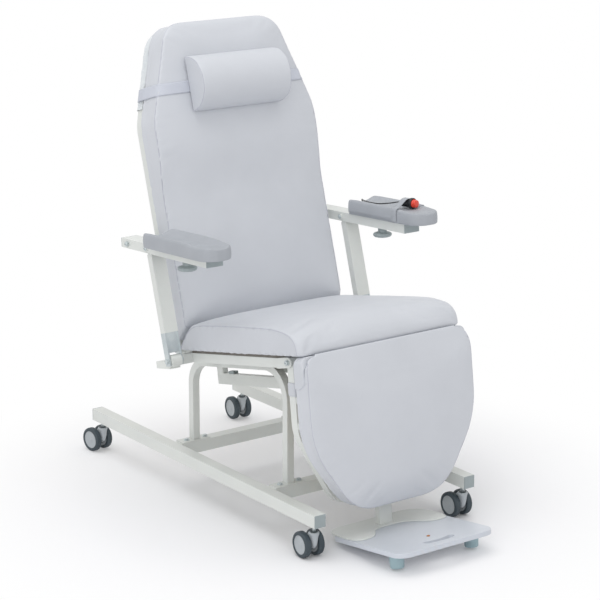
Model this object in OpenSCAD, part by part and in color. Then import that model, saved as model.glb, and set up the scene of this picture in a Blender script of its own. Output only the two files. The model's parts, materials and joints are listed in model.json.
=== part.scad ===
// Phlebotomy chair on a wheeled base, with a reclining back, a calf rest and level armrests.
// X runs across the chair (+X is the sitter's left), the sitter faces -Y, and Z is up from the floor.

/* [Base] */
// Length of each base rail
rail_len = 1278; // [1100:1:1500]
// Distance between the middle lines of the two base rails
rail_gauge = 582; // [520:1:640]
// Square size of the base rails and cross members
base_tube = 40; // [36:1:44]
// Wall of the base tubes
base_wall = 2; // [1.5:0.5:4]
// Height of the underside of the rails above the floor
rail_clear = 108; // [100:1:130]
// Rails' middle to the middle of the rear cross member
cross_rear_y = 163; // [120:1:200]
// Rails' middle to the middle of the front cross member
cross_front_y = 362; // [330:1:420]

/* [Casters] */
// Diameter of a caster wheel
wheel_d = 82; // [70:1:86]
// Width of one of the twin wheels
wheel_w = 21; // [16:1:22]
// Distance between the middles of the twin wheels
wheel_track = 47; // [46:1:52]
// Distance from the swivel axis back to the wheel axle
caster_trail = 29; // [20:1:34]
// Distance from the end of a rail to the swivel axis
caster_inset = 29.5; // [24:0.5:60]
// Diameter of the caster stem
stem_d = 12; // [10:1:14]

/* [Leg hoops] */
// Square size of the hoop tube
hoop_tube = 25; // [20:1:30]
// Wall of the hoop tube
hoop_wall = 2; // [1.5:0.5:3]
// Distance between the middles of the two hoops
hoop_gauge = 413; // [380:1:440]
// Bend radius of the hoops
hoop_bend_r = 92; // [70:1:100]
// Length of a foot plate across the chair
plate_len = 108; // [90:1:114]
// Thickness of the foot plates
plate_t = 4; // [3:0.5:6]
// Distance between the two bolts of a foot plate
plate_bolt_pitch = 72; // [60:1:80]

/* [Seat] */
// Height of the back hinge above the floor
hinge_z = 481; // [470:1:520]
// Rise of the seat toward the front, in degrees
seat_tilt = 11.6; // [8:0.1:13]
// Depth and height of the square seat tubes
seat_tube = 30; // [25:1:32]
// Wall of the seat tubes
seat_wall = 2; // [1.5:0.5:3]
// Distance from the chair's middle to the outer face of a seat rail
seat_rail_out = 282; // [270:1:286]
// Distance from the back hinge forward to the calf hinge
calf_hinge_f = 600; // [580:1:640]
// Thickness of the seat cushion at its piped edge
seat_pad_t = 90; // [70:1:95]
// Half of the seat cushion's width
seat_half = 312; // [295:1:320]
// Crown of the seat cushion above its piped edge
seat_crown = 12; // [4:1:16]

/* [Back] */
// Lean of the back behind upright, in degrees
recline = 16.5; // [14:0.5:20]
// Depth of the back tube, front to rear
back_tube_d = 30; // [25:1:32]
// Width of the back tube and of the calf tube
frame_tube_w = 25; // [20:1:26]
// Distance from the chair's middle to the outer face of the back tube
back_tube_out = 298; // [290:1:302]
// Half of the back cushion's width
back_half = 310; // [302:1:316]
// Half of the back cushion's width at its top corners
head_half = 209; // [190:1:215]
// Height along the back where the head part starts to narrow
shoulder_up = 722; // [700:1:740]
// Height along the back of the cushion's top edge
back_top = 1028; // [980:1:1060]
// Thickness of the back cushion at its piped edge
back_pad_t = 96; // [80:1:100]
// Crown of the back cushion in front of its piped edge
back_crown = 12; // [4:1:14]

/* [Head bolster] */
// Length of the bolster across the back
bolster_len = 344; // [320:1:400]
// Height of the bolster
bolster_h = 176; // [120:1:180]
// How far the bolster stands out
bolster_out = 92; // [70:1:100]
// Width of the elastic strap
strap_w = 38; // [25:1:45]
// Thickness of the elastic strap
strap_t = 2; // [1.5:0.5:3]

/* [Arms] */
// Distance from the chair's middle to the middle of an arm tube
arm_x = 382; // [376:1:395]
// Width of the flat arm tube
arm_tube_w = 60; // [58:1:64]
// Height of the flat arm tube
arm_tube_h = 30; // [30:1:34]
// Rise of the arm toward the front, in degrees
arm_tilt = 3.4; // [0:0.1:5]
// Distance from the rear pivot of an arm to its front end
arm_reach = 448; // [430:1:470]
// Distance from the rear pivot to the post pivot
pivot_gap = 113; // [108:1:120]
// Height of the rear pivot along the back tube
arm_pivot_up = 361; // [350:1:380]
// Width of the arm post
post_w = 50; // [46:1:50]
// Depth of the arm post
post_d = 25; // [22:1:26]
// Length of an arm pad
pad_len = 360; // [320:1:366]
// Width of an arm pad
pad_w = 115; // [100:1:120]
// Thickness of an arm pad
pad_t = 48; // [36:1:52]
// How far the middle of a pad lies outside the middle of its arm
pad_shift = 19; // [10:1:24]
// Diameter of the clamp knob under an arm
knob_d = 62; // [50:1:70]

/* [Calf rest] */
// Forward lean of the hanging calf rest, in degrees
calf_tilt = 7.5; // [6:0.5:8]
// Length of the calf cushion
calf_len = 472; // [450:1:490]
// Half of the calf cushion's width
calf_half = 310; // [300:1:316]
// Thickness of the calf cushion at its piped edge
calf_pad_t = 72; // [60:1:76]
// Crown of the calf cushion
calf_crown = 11; // [4:1:14]
// Distance from the chair's middle to the outer face of the calf tube
calf_tube_out = 281; // [276:1:281]

/* [Footrest] */
// Width of the footboard
board_w = 372; // [320:1:380]
// Depth of the footboard, front to rear
board_d = 330; // [300:1:336]
// Thickness of the footboard
board_t = 15; // [12:1:18]
// Width of the footrest post
foot_post_w = 50; // [40:1:54]
// Depth of the footrest post
foot_post_d = 21; // [18:1:22]
// Distance between the two rubber feet
feet_gauge = 288; // [240:1:300]

/* [Hidden] */
$fn = 48;

// Colours as the real chair shows them
paint = "#dcdedb";
vinyl = "#c6cad4";
cap_grey = "#97a0a0";
pad_grey = "#a4a8ad";
zinc = "#b4bdc4";
black = "#26282b";
red = "#e84c38";
tyre_slate = "#3c484e";
hub_grey = "#aab1b4";
ply = "#b9a283";

// Running clearance between pieces that move on each other
gap = 0.5;
// Clearance of a pin in its bore, on the radius
pin_fit = 0.1;
// Overrun of every cutting shape
over = 1;
// Sides of a hexagon head
hex = 6;
quarter = 90;

// The origin lies under the middle of the whole chair, this far ahead of the rails' middle
rail_mid_y = 103.75;
// Rails' middle to the back hinge
hinge_back = 119;
hinge_y = rail_mid_y + hinge_back;
rail_top = rail_clear + base_tube;
rail_x = rail_gauge / 2;
// Drop of the calf hinge below the seat board's top
calf_hinge_drop = 22;
// Diameter of every hinge bolt, and its hexagon head
bolt_d = 10;
bolt_af = 17;
bolt_head = 6;
// Thickness of hinge plates
lug_t = 6;
// Thickness of the plywood boards
ply_t = 11;

function unit(v) = v / norm(v);
function turn(a, b) = atan2(a[0] * b[1] - a[1] * b[0], a * b);
function cut_back(p, q, s, r) = r * tan(abs(turn(q - p, s - q)) / 2);
function clamp01(v) = max(0, min(1, v));
function smooth(v) = let (c = clamp01(v)) c * c * (3 - 2 * c);

// Points of an arc of radius r that rounds the corner q between p and s
function corner(p, q, s, r, n) =
    let (a = unit(p - q), b = unit(s - q), half = acos(a * b) / 2,
         c = q + unit(a + b) * r / sin(half),
         from = q + a * r / tan(half), to = q + b * r / tan(half),
         a0 = atan2(from[1] - c[1], from[0] - c[0]), sweep = turn(from - c, to - c))
    [for (i = [0 : n]) c + r * [cos(a0 + sweep * i / n), sin(a0 + sweep * i / n)]];

// A closed outline whose corner i is rounded with radius radii[i]
function rounded(points, radii, n) =
    let (m = len(points))
    [for (i = [0 : m - 1])
        each radii[i] == 0 ? [points[i]]
             : corner(points[(i + m - 1) % m], points[i], points[(i + 1) % m], radii[i], n)];

// The same closed outline with no edge longer than step
function divided(points, step) =
    let (m = len(points))
    [for (i = [0 : m - 1])
        let (p = points[i], q = points[(i + 1) % m], k = max(1, ceil(norm(q - p) / step)))
        for (j = [0 : k - 1]) p + (q - p) * j / k];

// Share of full thickness left at distance d from an edge that rounds off over r
function nose(d, r, power) =
    d >= r ? 1 : pow(max(0, 1 - pow(min(1, max(0, 1 - d / r)), power)), 1 / power);

// Places: each part of the chair is drawn level at its own hinge and set in place by these.
// The arms, posts and lugs are drawn on the left (+X) side and mirrored to the right.
module at_hinge() { translate([0, hinge_y, hinge_z]) children(); }
module on_seat() { at_hinge() rotate([-seat_tilt, 0, 0]) children(); }
module on_back() { at_hinge() rotate([-recline, 0, 0]) children(); }
module on_calf() {
    on_seat() translate([0, -calf_hinge_f, -calf_hinge_drop])
        rotate([seat_tilt - calf_tilt, 0, 0]) children();
}
module on_arm() {
    on_back() translate([arm_x, 0, arm_pivot_up]) rotate([recline - arm_tilt, 0, 0]) children();
}
module on_post() {
    at_hinge() rotate([-arm_tilt, 0, 0]) translate([arm_x, -pivot_gap, 0])
        rotate([arm_tilt - recline, 0, 0]) children();
}
module mirrored(side) { mirror([side < 0 ? 1 : 0, 0, 0]) children(); }
module both_sides() { for (side = [-1, 1]) mirrored(side) children(); }

// Basic tubes, plates and fasteners
module box(size) { translate([-size[0] / 2, -size[1] / 2, 0]) cube(size); }
module block(from, to) { translate(from) cube(to - from); }
module hollow_section(w, d, wall) {
    difference() {
        square([w, d], center = true);
        square([w - 2 * wall, d - 2 * wall], center = true);
    }
}
module tube_z(w, d, length, wall) { linear_extrude(length) hollow_section(w, d, wall); }
module tube_x(length, d, h, wall) {
    translate([-length / 2, 0, 0]) rotate([quarter, 0, quarter]) tube_z(d, h, length, wall);
}
module tube_y(length, w, h, wall) {
    translate([0, length / 2, 0]) rotate([quarter, 0, 0]) tube_z(w, h, length, wall);
}
module rod_x(d, from, to) { translate([from, 0, 0]) rotate([0, quarter, 0]) cylinder(d = d, h = to - from); }
module rod_y(d, from, to) { translate([0, to, 0]) rotate([quarter, 0, 0]) cylinder(d = d, h = to - from); }
module head_x(af, from, to) {
    translate([from, 0, 0]) rotate([0, quarter, 0]) cylinder(d = af, h = to - from, $fn = hex);
}
// A plate drawn in the YZ plane, from x = from to x = to
module plate_x(from, to) {
    translate([from, 0, 0]) rotate([quarter, 0, quarter]) linear_extrude(to - from) children();
}

// A tube bent in the XY plane along points, with bend radius radii[i] at point i, all in one piece
bend_steps = 12;
section_sides = 4;
section_shares = [[-1, -1], [1, -1], [1, 1], [-1, 1]];
module bent_tube(points, radii, w, d, wall) {
    last = len(points) - 1;
    path = concat([points[0]],
        [for (i = [1 : last - 1]) each corner(points[i - 1], points[i], points[i + 1], radii[i], bend_steps)],
        [points[last]]);
    n = len(path);
    ring_points = [for (i = [0 : n - 1])
        let (back = unit(path[max(1, i)] - path[max(1, i) - 1]),
             ahead = unit(path[min(n - 2, i) + 1] - path[min(n - 2, i)]),
             square_on = [-back[1], back[0]], side = unit(square_on + [-ahead[1], ahead[0]]),
             reach = 1 / (side * square_on))
        for (thick = [0, wall]) for (share = section_shares)
            let (out = path[i] + side * reach * share[0] * (w / 2 - thick)) [out[0], out[1], share[1] * (d / 2 - thick)]];
    outer = function(i, k) i * 2 * section_sides + k % section_sides;
    inner = function(i, k) outer(i, k) + section_sides;
    faces = concat(
        [for (k = [0 : section_sides - 1]) [outer(0, k), outer(0, k + 1), inner(0, k + 1), inner(0, k)]],
        [for (i = [0 : n - 2]) for (k = [0 : section_sides - 1])
            each [[outer(i, k), outer(i + 1, k), outer(i + 1, k + 1), outer(i, k + 1)],
                  [inner(i, k), inner(i, k + 1), inner(i + 1, k + 1), inner(i + 1, k)]]],
        [for (k = [0 : section_sides - 1])
            [outer(n - 1, k + 1), outer(n - 1, k), inner(n - 1, k), inner(n - 1, k + 1)]]);
    polyhedron(ring_points, faces);
}

// A flat bar with round ends, from p to q
bar_end_steps = 12;
module flat_bar(p, q, w) {
    way = atan2(q[1] - p[1], q[0] - p[0]);
    polygon(concat(
        [for (i = [0 : bar_end_steps]) let (a = way + quarter + 2 * quarter * i / bar_end_steps)
            p + w / 2 * [cos(a), sin(a)]],
        [for (i = [0 : bar_end_steps]) let (a = way - quarter + 2 * quarter * i / bar_end_steps)
            q + w / 2 * [cos(a), sin(a)]]));
}

// A cushion over an outline: each ring is a share of the outline, of the thickness and of the crown.
// low, high and lean are functions of the place in the outline.
cushion_ring_shares = [[0.6, 0, 0], [0.78, 0, 0], [0.89, 0, 0], [0.975, 0, 0], [1, 0.07, 0],
                       [0.988, 0.3, 0], [0.984, 0.55, 0], [0.99, 0.78, 0], [1, 0.93, 0], [0.99, 1, 0.1],
                       [0.93, 1, 0.38], [0.8, 1, 0.66], [0.6, 1, 0.86], [0.33, 1, 0.97]];
// Longest edge of a cushion's outline, and steps of its corner arcs
cushion_step = 75;
corner_steps = 4;
module cushion(outline, centre, low, high, crown, lean) {
    n = len(outline);
    rings = len(cushion_ring_shares);
    ring_points = [for (ring = cushion_ring_shares) for (corner_point = outline)
        let (p = centre + (corner_point - centre) * ring[0], bottom = low(p),
             z = bottom + (high(p) - bottom) * ring[1] + crown(p) * ring[2])
        [p[0], p[1] + lean(p) * ring[1], z]];
    points = concat(ring_points, [[centre[0], centre[1], low(centre)],
                                  [centre[0], centre[1], high(centre) + crown(centre)]]);
    end = n * rings;
    faces = concat(
        [for (i = [0 : n - 1]) [end, i, (i + 1) % n]],
        [for (k = [0 : rings - 2]) for (i = [0 : n - 1])
            each [[k * n + i, (k + 1) * n + i, k * n + (i + 1) % n],
                  [k * n + (i + 1) % n, (k + 1) * n + i, (k + 1) * n + (i + 1) % n]]],
        [for (i = [0 : n - 1]) [(rings - 1) * n + i, end + 1, (rings - 1) * n + (i + 1) % n]]);
    polyhedron(points, faces);
}

// Base
module base_rails() {
    color(paint) both_sides() translate([rail_x, rail_mid_y, rail_clear + base_tube / 2]) difference() {
        tube_y(rail_len, base_tube, base_tube, base_wall);
        for (end = [-1, 1]) translate([0, end * stem_reach, -base_tube / 2 - over])
            cylinder(d = stem_d + gap, h = base_wall + 2 * over);
    }
}
stem_reach = rail_len / 2 - caster_inset;

cross_places = [rail_mid_y + cross_rear_y, rail_mid_y - cross_front_y];
module base_cross_members() {
    color(paint) for (y = cross_places) translate([0, y, rail_clear + base_tube / 2]) difference() {
        tube_x(rail_gauge - base_tube, base_tube, base_tube, base_wall);
        both_sides() for (end = [-1, 1])
            translate([plate_bolt_x + end * plate_bolt_pitch / 2, 0, base_tube / 2 - base_wall - over])
                cylinder(d = plate_bolt_d + gap, h = base_wall + 2 * over);
    }
}

// Head thickness of a plug end cap, and how deep its plug reaches
cap_t = 3;
cap_deep = 16;
module end_cap(w, h, wall) {
    linear_extrude(cap_t) square([w, h], center = true);
    translate([0, 0, -cap_deep]) linear_extrude(cap_deep)
        square([w - 2 * wall - gap, h - 2 * wall - gap], center = true);
}
module rail_end_caps() {
    color(cap_grey) both_sides() for (end = [-1, 1])
        translate([rail_x, rail_mid_y + end * rail_len / 2, rail_clear + base_tube / 2])
            rotate([-end * quarter, 0, 0]) end_cap(base_tube, base_tube, base_wall);
}

// Leg hoops: bent tubes that carry the seat, welded to foot plates
hoop_x = hoop_gauge / 2;
// How far a foot plate's middle and its bolts lie from the hoop's middle, outward
plate_out = 5;
plate_bolt_x = hoop_x - 4.5;
plate_bolt_d = 8;
plate_bolt_af = 13;
// Middle line of the hoop's top bar, below the back hinge along the seat's normal
hoop_top_n = ply_t + seat_tube + hoop_tube / 2;
function hoop_top_z(y) = hinge_z - hoop_top_n / cos(seat_tilt) - (y - hinge_y) * tan(seat_tilt);
hoop_points = [[cross_places[0], rail_top + plate_t], [cross_places[0], hoop_top_z(cross_places[0])],
               [cross_places[1], hoop_top_z(cross_places[1])], [cross_places[1], rail_top + plate_t]];
module hoop() {
    color(paint) {
        translate([hoop_x, 0, 0]) rotate([quarter, 0, quarter])
            bent_tube(hoop_points, [0, hoop_bend_r, hoop_bend_r, 0], hoop_tube, hoop_tube, hoop_wall);
        for (y = cross_places) translate([0, y, rail_top]) difference() {
            translate([hoop_x + plate_out, 0, 0]) box([plate_len, base_tube, plate_t]);
            for (end = [-1, 1]) translate([plate_bolt_x + end * plate_bolt_pitch / 2, 0, -over])
                cylinder(d = plate_bolt_d + gap, h = plate_t + 2 * over);
        }
    }
}
module hoop_right() mirrored(-1) hoop();
module hoop_left() hoop();

// Length of a foot plate bolt below its plate, and height of its head
plate_bolt_deep = 18;
plate_bolt_head = 6;
module foot_plate_bolts() {
    color(zinc) both_sides() for (y = cross_places) for (end = [-1, 1])
        translate([plate_bolt_x + end * plate_bolt_pitch / 2, y, rail_top]) {
            translate([0, 0, -plate_bolt_deep]) cylinder(d = plate_bolt_d, h = plate_bolt_deep + plate_t);
            translate([0, 0, plate_t]) cylinder(d = plate_bolt_af, h = plate_bolt_head, $fn = hex);
        }
}

// Casters: twin wheels on a trailing housing
axle_z = wheel_d / 2;
axle_d = 10;
// Height of the housing's top, the width of its web and of its top boss
housing_top = 92;
web_w = wheel_track - wheel_w - 2;
boss_d = 30;
hub_d = 60;
// Depth of the stem's nut inside the rail, its size, and the ring under the rail
stem_nut_af = 19;
stem_nut_h = 8;
ring_d = 22;
ring_h = 4;
module caster_place(i) {
    // 1 right front, 2 right rear, 3 left rear, 4 left front, each with the swivel it shows
    side = i < 3 ? -1 : 1;
    end = i == 1 || i == 4 ? -1 : 1;
    translate([side * rail_x, rail_mid_y + end * stem_reach, 0]) rotate([0, 0, caster_yaws[i - 1]]) children();
}
caster_yaws = [-3, 8, -4, 0];
module caster_stems() {
    color(zinc) for (i = [1 : 4]) caster_place(i) {
        translate([0, 0, housing_top - boss_d / 2])
            cylinder(d = stem_d, h = rail_clear + base_wall + stem_nut_h - housing_top + boss_d / 2);
        translate([0, 0, rail_clear - ring_h]) cylinder(d = ring_d, h = ring_h);
        translate([0, 0, rail_clear + base_wall]) cylinder(d = stem_nut_af, h = stem_nut_h, $fn = hex);
    }
}
module caster_housing() {
    color(hub_grey) difference() {
        union() {
            translate([0, 0, wheel_d + gap]) cylinder(d = boss_d, h = housing_top - wheel_d - gap);
            translate([0, 0, housing_top - boss_d]) cylinder(d = web_w, h = boss_d - over);
            plate_x(-web_w / 2, web_w / 2) {
                polygon([[-boss_d / 2, housing_top - boss_d / 4], [boss_d / 2, housing_top - boss_d / 4],
                         [caster_trail + hub_d * web_rear_share, axle_z],
                         [caster_trail + axle_d, axle_z - axle_d * 2],
                         [caster_trail - axle_d, axle_z - axle_d * 2], [-boss_d / 2, axle_z + axle_d]]);
            }
            translate([0, caster_trail, axle_z]) rod_x(axle_d, -wheel_track / 2 - wheel_w / 2,
                                                       wheel_track / 2 + wheel_w / 2);
        }
        translate([0, 0, housing_top - boss_d / 2 - over])
            cylinder(d = stem_d + 2 * pin_fit, h = boss_d / 2 + 2 * over);
    }
}
web_rear_share = 0.36;
module wheel_pair() { translate([0, caster_trail, axle_z]) both_sides() translate([wheel_track / 2, 0, 0])
    rotate([0, quarter, 0]) rotate_extrude() children(); }
// Rounding of a tyre's shoulders, and the dish of a hub
tyre_round = 4;
hub_dish = 3;
module caster_tyres() {
    color(tyre_slate) wheel_pair() polygon(concat(
        [[hub_d / 2, -wheel_w / 2]],
        corner([hub_d / 2, -wheel_w / 2], [wheel_d / 2, -wheel_w / 2], [wheel_d / 2, wheel_w / 2],
               tyre_round, corner_steps),
        corner([wheel_d / 2, -wheel_w / 2], [wheel_d / 2, wheel_w / 2], [hub_d / 2, wheel_w / 2],
               tyre_round, corner_steps),
        [[hub_d / 2, wheel_w / 2]]));
}
module caster_hubs() {
    color(hub_grey) wheel_pair() polygon([[axle_d / 2 + pin_fit, -wheel_w / 2], [hub_d / 2, -wheel_w / 2],
        [hub_d / 2, wheel_w / 2], [hub_d / 2 - hub_dish, wheel_w / 2 - hub_dish],
        [axle_d, wheel_w / 2 - hub_dish], [axle_d / 2 + pin_fit, wheel_w / 2]]);
}

// Seat
rail_n = ply_t + seat_tube / 2;
// Where the side rails end ahead of the back hinge, and where the rear cross tube begins
rail_front_f = calf_hinge_f - 22;
cross_f = 32;
seat_rail_x = seat_rail_out - seat_tube / 2;
// Middle of the cross tubes that rest on the hoops
hoop_cross_f = [150, 320];
module seat_rails() {
    color(paint) on_seat() both_sides()
        translate([seat_rail_x, -(rail_front_f + cross_f + seat_tube) / 2, -rail_n])
            tube_y(rail_front_f - cross_f - seat_tube, seat_tube, seat_tube, seat_wall);
}
// Reach of the rear cross tube, which carries the lugs of the arm posts
cross_reach = arm_x - 19;
post_lug_w = 38;
// Where the post pivot lies, seen from the back hinge along the seat
post_f = pivot_gap * cos(seat_tilt - arm_tilt);
post_n = -pivot_gap * sin(seat_tilt - arm_tilt);
post_nose_d = 38;
lug_x = back_tube_out - frame_tube_w - gap - lug_t;
module seat_cross_tubes() {
    color(paint) on_seat() {
        difference() {
            translate([0, -cross_f - seat_tube / 2, -rail_n])
                tube_x(2 * cross_reach, seat_tube, seat_tube, seat_wall);
        }
        for (f = hoop_cross_f) translate([0, -f, -rail_n])
            tube_x(2 * (seat_rail_x - seat_tube / 2), seat_tube, seat_tube, seat_wall);
        translate([0, -rail_front_f + seat_tube / 2, -rail_n])
            tube_x(2 * (seat_rail_x - seat_tube / 2), seat_tube, seat_tube, seat_wall);
        both_sides() {
            // Back hinge lug
            difference() {
                plate_x(lug_x, lug_x + lug_t) flat_bar([0, 0], [-cross_f - seat_tube / 2, -rail_n], seat_tube);
                rod_x(bolt_d + 2 * pin_fit, lug_x - over, lug_x + lug_t + over);
            }
            // Arm post lug
            difference() {
                plate_x(arm_x - (post_lug_w + over) / 2, arm_x + (post_lug_w - over) / 2) {
                    translate([-post_f, post_n]) circle(d = post_nose_d);
                    translate([-post_f, -rail_n - seat_tube / 2])
                        square([post_f - cross_f, seat_tube - 8]);
                }
                translate([0, -post_f, post_n])
                    rod_x(post_pin_d + 2 * pin_fit, cross_reach - 2 * over, arm_x + post_lug_w);
            }
        }
    }
}
post_pin_d = 12;

ear_w = 32;
module calf_hinge_ears() {
    color(paint) on_seat() both_sides() difference() {
        plate_x(seat_rail_out, seat_rail_out + lug_t)
            flat_bar([-calf_hinge_f, -calf_hinge_drop], [-rail_front_f + ear_w, -rail_n], ear_w);
        translate([0, -calf_hinge_f, -calf_hinge_drop])
            rod_x(bolt_d + 2 * pin_fit, seat_rail_out - over, seat_rail_out + lug_t + over);
    }
}
calf_tube_x = calf_tube_out - frame_tube_w / 2;
module hinge_bolts() {
    color(zinc) on_seat() both_sides() {
        rod_x(bolt_d, lug_x - bolt_head, back_tube_out + gap);
        head_x(bolt_af, lug_x - bolt_head, lug_x);
        head_x(bolt_af, back_tube_out + gap, back_tube_out + gap + bolt_head);
        translate([0, -calf_hinge_f, -calf_hinge_drop]) {
            rod_x(bolt_d, calf_tube_out - frame_tube_w - gap - bolt_head, seat_rail_out + lug_t);
            head_x(bolt_af, calf_tube_out - frame_tube_w - gap - bolt_head,
                   calf_tube_out - frame_tube_w - gap);
            head_x(bolt_af, seat_rail_out + lug_t, seat_rail_out + lug_t + bolt_head);
        }
    }
}

// How far the seat board stays inside the cushion
board_in = 26;
seat_rear_f = 33;
seat_nose_f = calf_hinge_f + 102;
// The seat board ends ahead of the back hinge's lugs
board_rear_f = cross_f + seat_tube;
module seat_board() {
    color(ply) on_seat() block([-(seat_rail_out - gap), -rail_front_f, -ply_t],
                               [seat_rail_out - gap, -board_rear_f, 0]);
}
// Plan corners of the seat cushion, and how its edges roll off
seat_corner_r = 30;
seat_rear_r = 22;
seat_roll = 250;
seat_roll_power = 2.9;
// How far from its rear edge the seat's crown is full
seat_crown_run = 150;
seat_rear_roll = 90;
seat_rear_power = 1.2;
// Thinnest edge of a cushion
edge_t = 13;
// Width of the nose that keeps its full reach, and how much the sides fall back
nose_flat = 210;
nose_fall = 10;
function seat_front(x) = seat_nose_f - nose_fall * pow(clamp01((abs(x) - nose_flat) / (seat_half - nose_flat)), 3);
module seat_cushion() {
    outline = divided(rounded([[-seat_half, -seat_rear_f], [-seat_half, -seat_nose_f],
                               [seat_half, -seat_nose_f], [seat_half, -seat_rear_f]],
                              [seat_rear_r, seat_corner_r, seat_corner_r, seat_rear_r], corner_steps),
                      cushion_step);
    color(vinyl) on_seat() cushion(outline, [0, -(seat_rear_f + seat_nose_f) / 2],
        function(p) 0,
        function(p) max(edge_t, seat_pad_t * nose(seat_front(p[0]) + p[1], seat_roll, seat_roll_power)
                                * nose(-p[1] - seat_rear_f, seat_rear_roll, seat_rear_power)),
        function(p) seat_crown * clamp01((-p[1] - seat_rear_f) / seat_crown_run),
        function(p) 0);
}

// Back
back_tube_x = back_tube_out - frame_tube_w / 2;
head_slope = (back_half - head_half) / (back_top - shoulder_up);
head_up = back_top - back_tube_d;
head_x = back_tube_x - (head_up - shoulder_up) * head_slope;
shoulder_r = 150;
head_r = 68;
module back_path() {
    bent_tube([[back_tube_x, 0], [back_tube_x, shoulder_up], [head_x, head_up], [-head_x, head_up],
               [-back_tube_x, shoulder_up], [-back_tube_x, 0]],
              [0, shoulder_r, head_r, head_r, shoulder_r, 0], frame_tube_w, back_tube_d, seat_wall);
}
module back_frame() {
    color(paint) on_back() difference() {
        union() {
            rotate([quarter, 0, 0]) back_path();
            both_sides() rod_x(back_tube_d - gap, back_tube_out - frame_tube_w, back_tube_out);
        }
        both_sides() rod_x(bolt_d + 2 * pin_fit, back_tube_out - frame_tube_w - over, back_tube_out + over);
    }
}
// Height of the lower bar along the back, and the size of its tube
lever_bar_up = 40;
lever_bar_h = 25;
// Rear pivot of a link bar: behind the back hinge and below it
link_rear_f = -40;
link_rear_n = -62;
// The calf lever: its length, and its lean behind the seat's normal
calf_lever = 104.5;
calf_lever_lean = 28.5;
link_front_f = calf_hinge_f - calf_lever * sin(calf_lever_lean);
link_front_n = -calf_hinge_drop - calf_lever * cos(calf_lever_lean);
// Middle of a lever, and of the link bar beside it
lever_x = 97;
link_w = 20;
link_x = lever_x + lug_t / 2 + gap + link_w / 2;
link_pin_d = 10;
lever_w = 24;
back_turn = recline - seat_tilt;
function seat_to_back(f, n) = [-f * cos(back_turn) - n * sin(back_turn), -f * sin(back_turn) + n * cos(back_turn)];
module back_lever_bar() {
    color(paint) on_back() {
        translate([0, 0, lever_bar_up])
            tube_x(2 * (back_tube_out - frame_tube_w), back_tube_d, lever_bar_h, seat_wall);
        both_sides() {
            pin = seat_to_back(link_rear_f, link_rear_n);
            plate_x(lever_x - lug_t / 2, lever_x + lug_t / 2)
                flat_bar(pin, [0, lever_bar_up - lever_bar_h / 2], lever_w);
            translate([0, pin[0], pin[1]]) {
                rod_x(link_pin_d, lever_x, link_x + link_w / 2 + gap);
                head_x(bolt_af, link_x + link_w / 2 + gap, link_x + link_w / 2 + gap + bolt_head);
            }
        }
    }
}
// Stub axles of the arms: boss, axle and head
axle_boss_d = 22;
module arm_axles() {
    color(zinc) on_back() both_sides() translate([0, 0, arm_pivot_up]) {
        rod_x(axle_boss_d, back_tube_out, arm_x - arm_tube_w / 2 - gap);
        rod_x(post_pin_d, arm_x - arm_tube_w / 2 - over, arm_x + arm_tube_w / 2 + gap);
        head_x(bolt_af, arm_x + arm_tube_w / 2 + gap, arm_x + arm_tube_w / 2 + gap + bolt_head);
    }
}
back_low = 20;
// The back's outline at a distance in from the cushion's edge
function back_outline(in) =
    rounded([[-back_half + in, back_low + in], [back_half - in, back_low + in],
             [back_half - in, shoulder_up], [head_half - in, back_top - in],
             [-head_half + in, back_top - in], [-back_half + in, shoulder_up]],
            [seat_rear_r, seat_rear_r, shoulder_r, head_r, head_r, shoulder_r], corner_steps);
back_face = back_tube_d / 2;
module back_board() {
    color(ply) on_back() translate([0, -back_face, 0]) rotate([quarter, 0, 0])
        linear_extrude(ply_t) polygon(back_outline(board_in));
}
// The head part is thicker than the lower back, and the change begins here and runs this far
back_lower_share = 0.78;
head_begin = 470;
head_blend = 180;
// Rise of the cushion's lower edge from its rear to its front, and how it rolls off
back_rise = 62;
back_rise_run = 200;
back_roll = 50;
function back_t(z) = back_pad_t * (back_lower_share + (1 - back_lower_share) * smooth((z - head_begin) / head_blend));
module back_cushion() {
    color(vinyl) on_back() translate([0, -back_face - ply_t, 0]) rotate([quarter, 0, 0])
        cushion(divided(back_outline(0), cushion_step), [0, (back_low + back_top) / 2],
            function(p) 0,
            function(p) back_t(p[1]) * (0.8 + 0.2 * nose(back_top - p[1], back_roll, 2)
                                        * nose(p[1] - back_low, back_roll, 2)),
            function(p) back_crown,
            function(p) back_rise * (1 - smooth((p[1] - back_low) / back_rise_run)));
}
// Thickness of the head cover's cloth, and where it ends
cover_t = 3;
cover_low = 770;
cover_gap = 5.5;
module head_cover() {
    outer = back_tube_out - back_half - cover_t + cover_gap;
    color("white") on_back() difference() {
        translate([0, back_face + cover_t + gap, 0]) rotate([quarter, 0, 0])
            linear_extrude(back_tube_d + cover_t) polygon(back_outline(-outer - 2 * cover_t));
        translate([0, back_face + gap, 0]) rotate([quarter, 0, 0])
            linear_extrude(back_tube_d + cover_t + over) polygon(back_outline(-outer - cover_t));
        block([-back_half - over, -back_tube_d, -over], [back_half + over, back_tube_d, cover_low]);
    }
}
// Middle of the bolster and of its strap along the back
bolster_up = 828;
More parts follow.
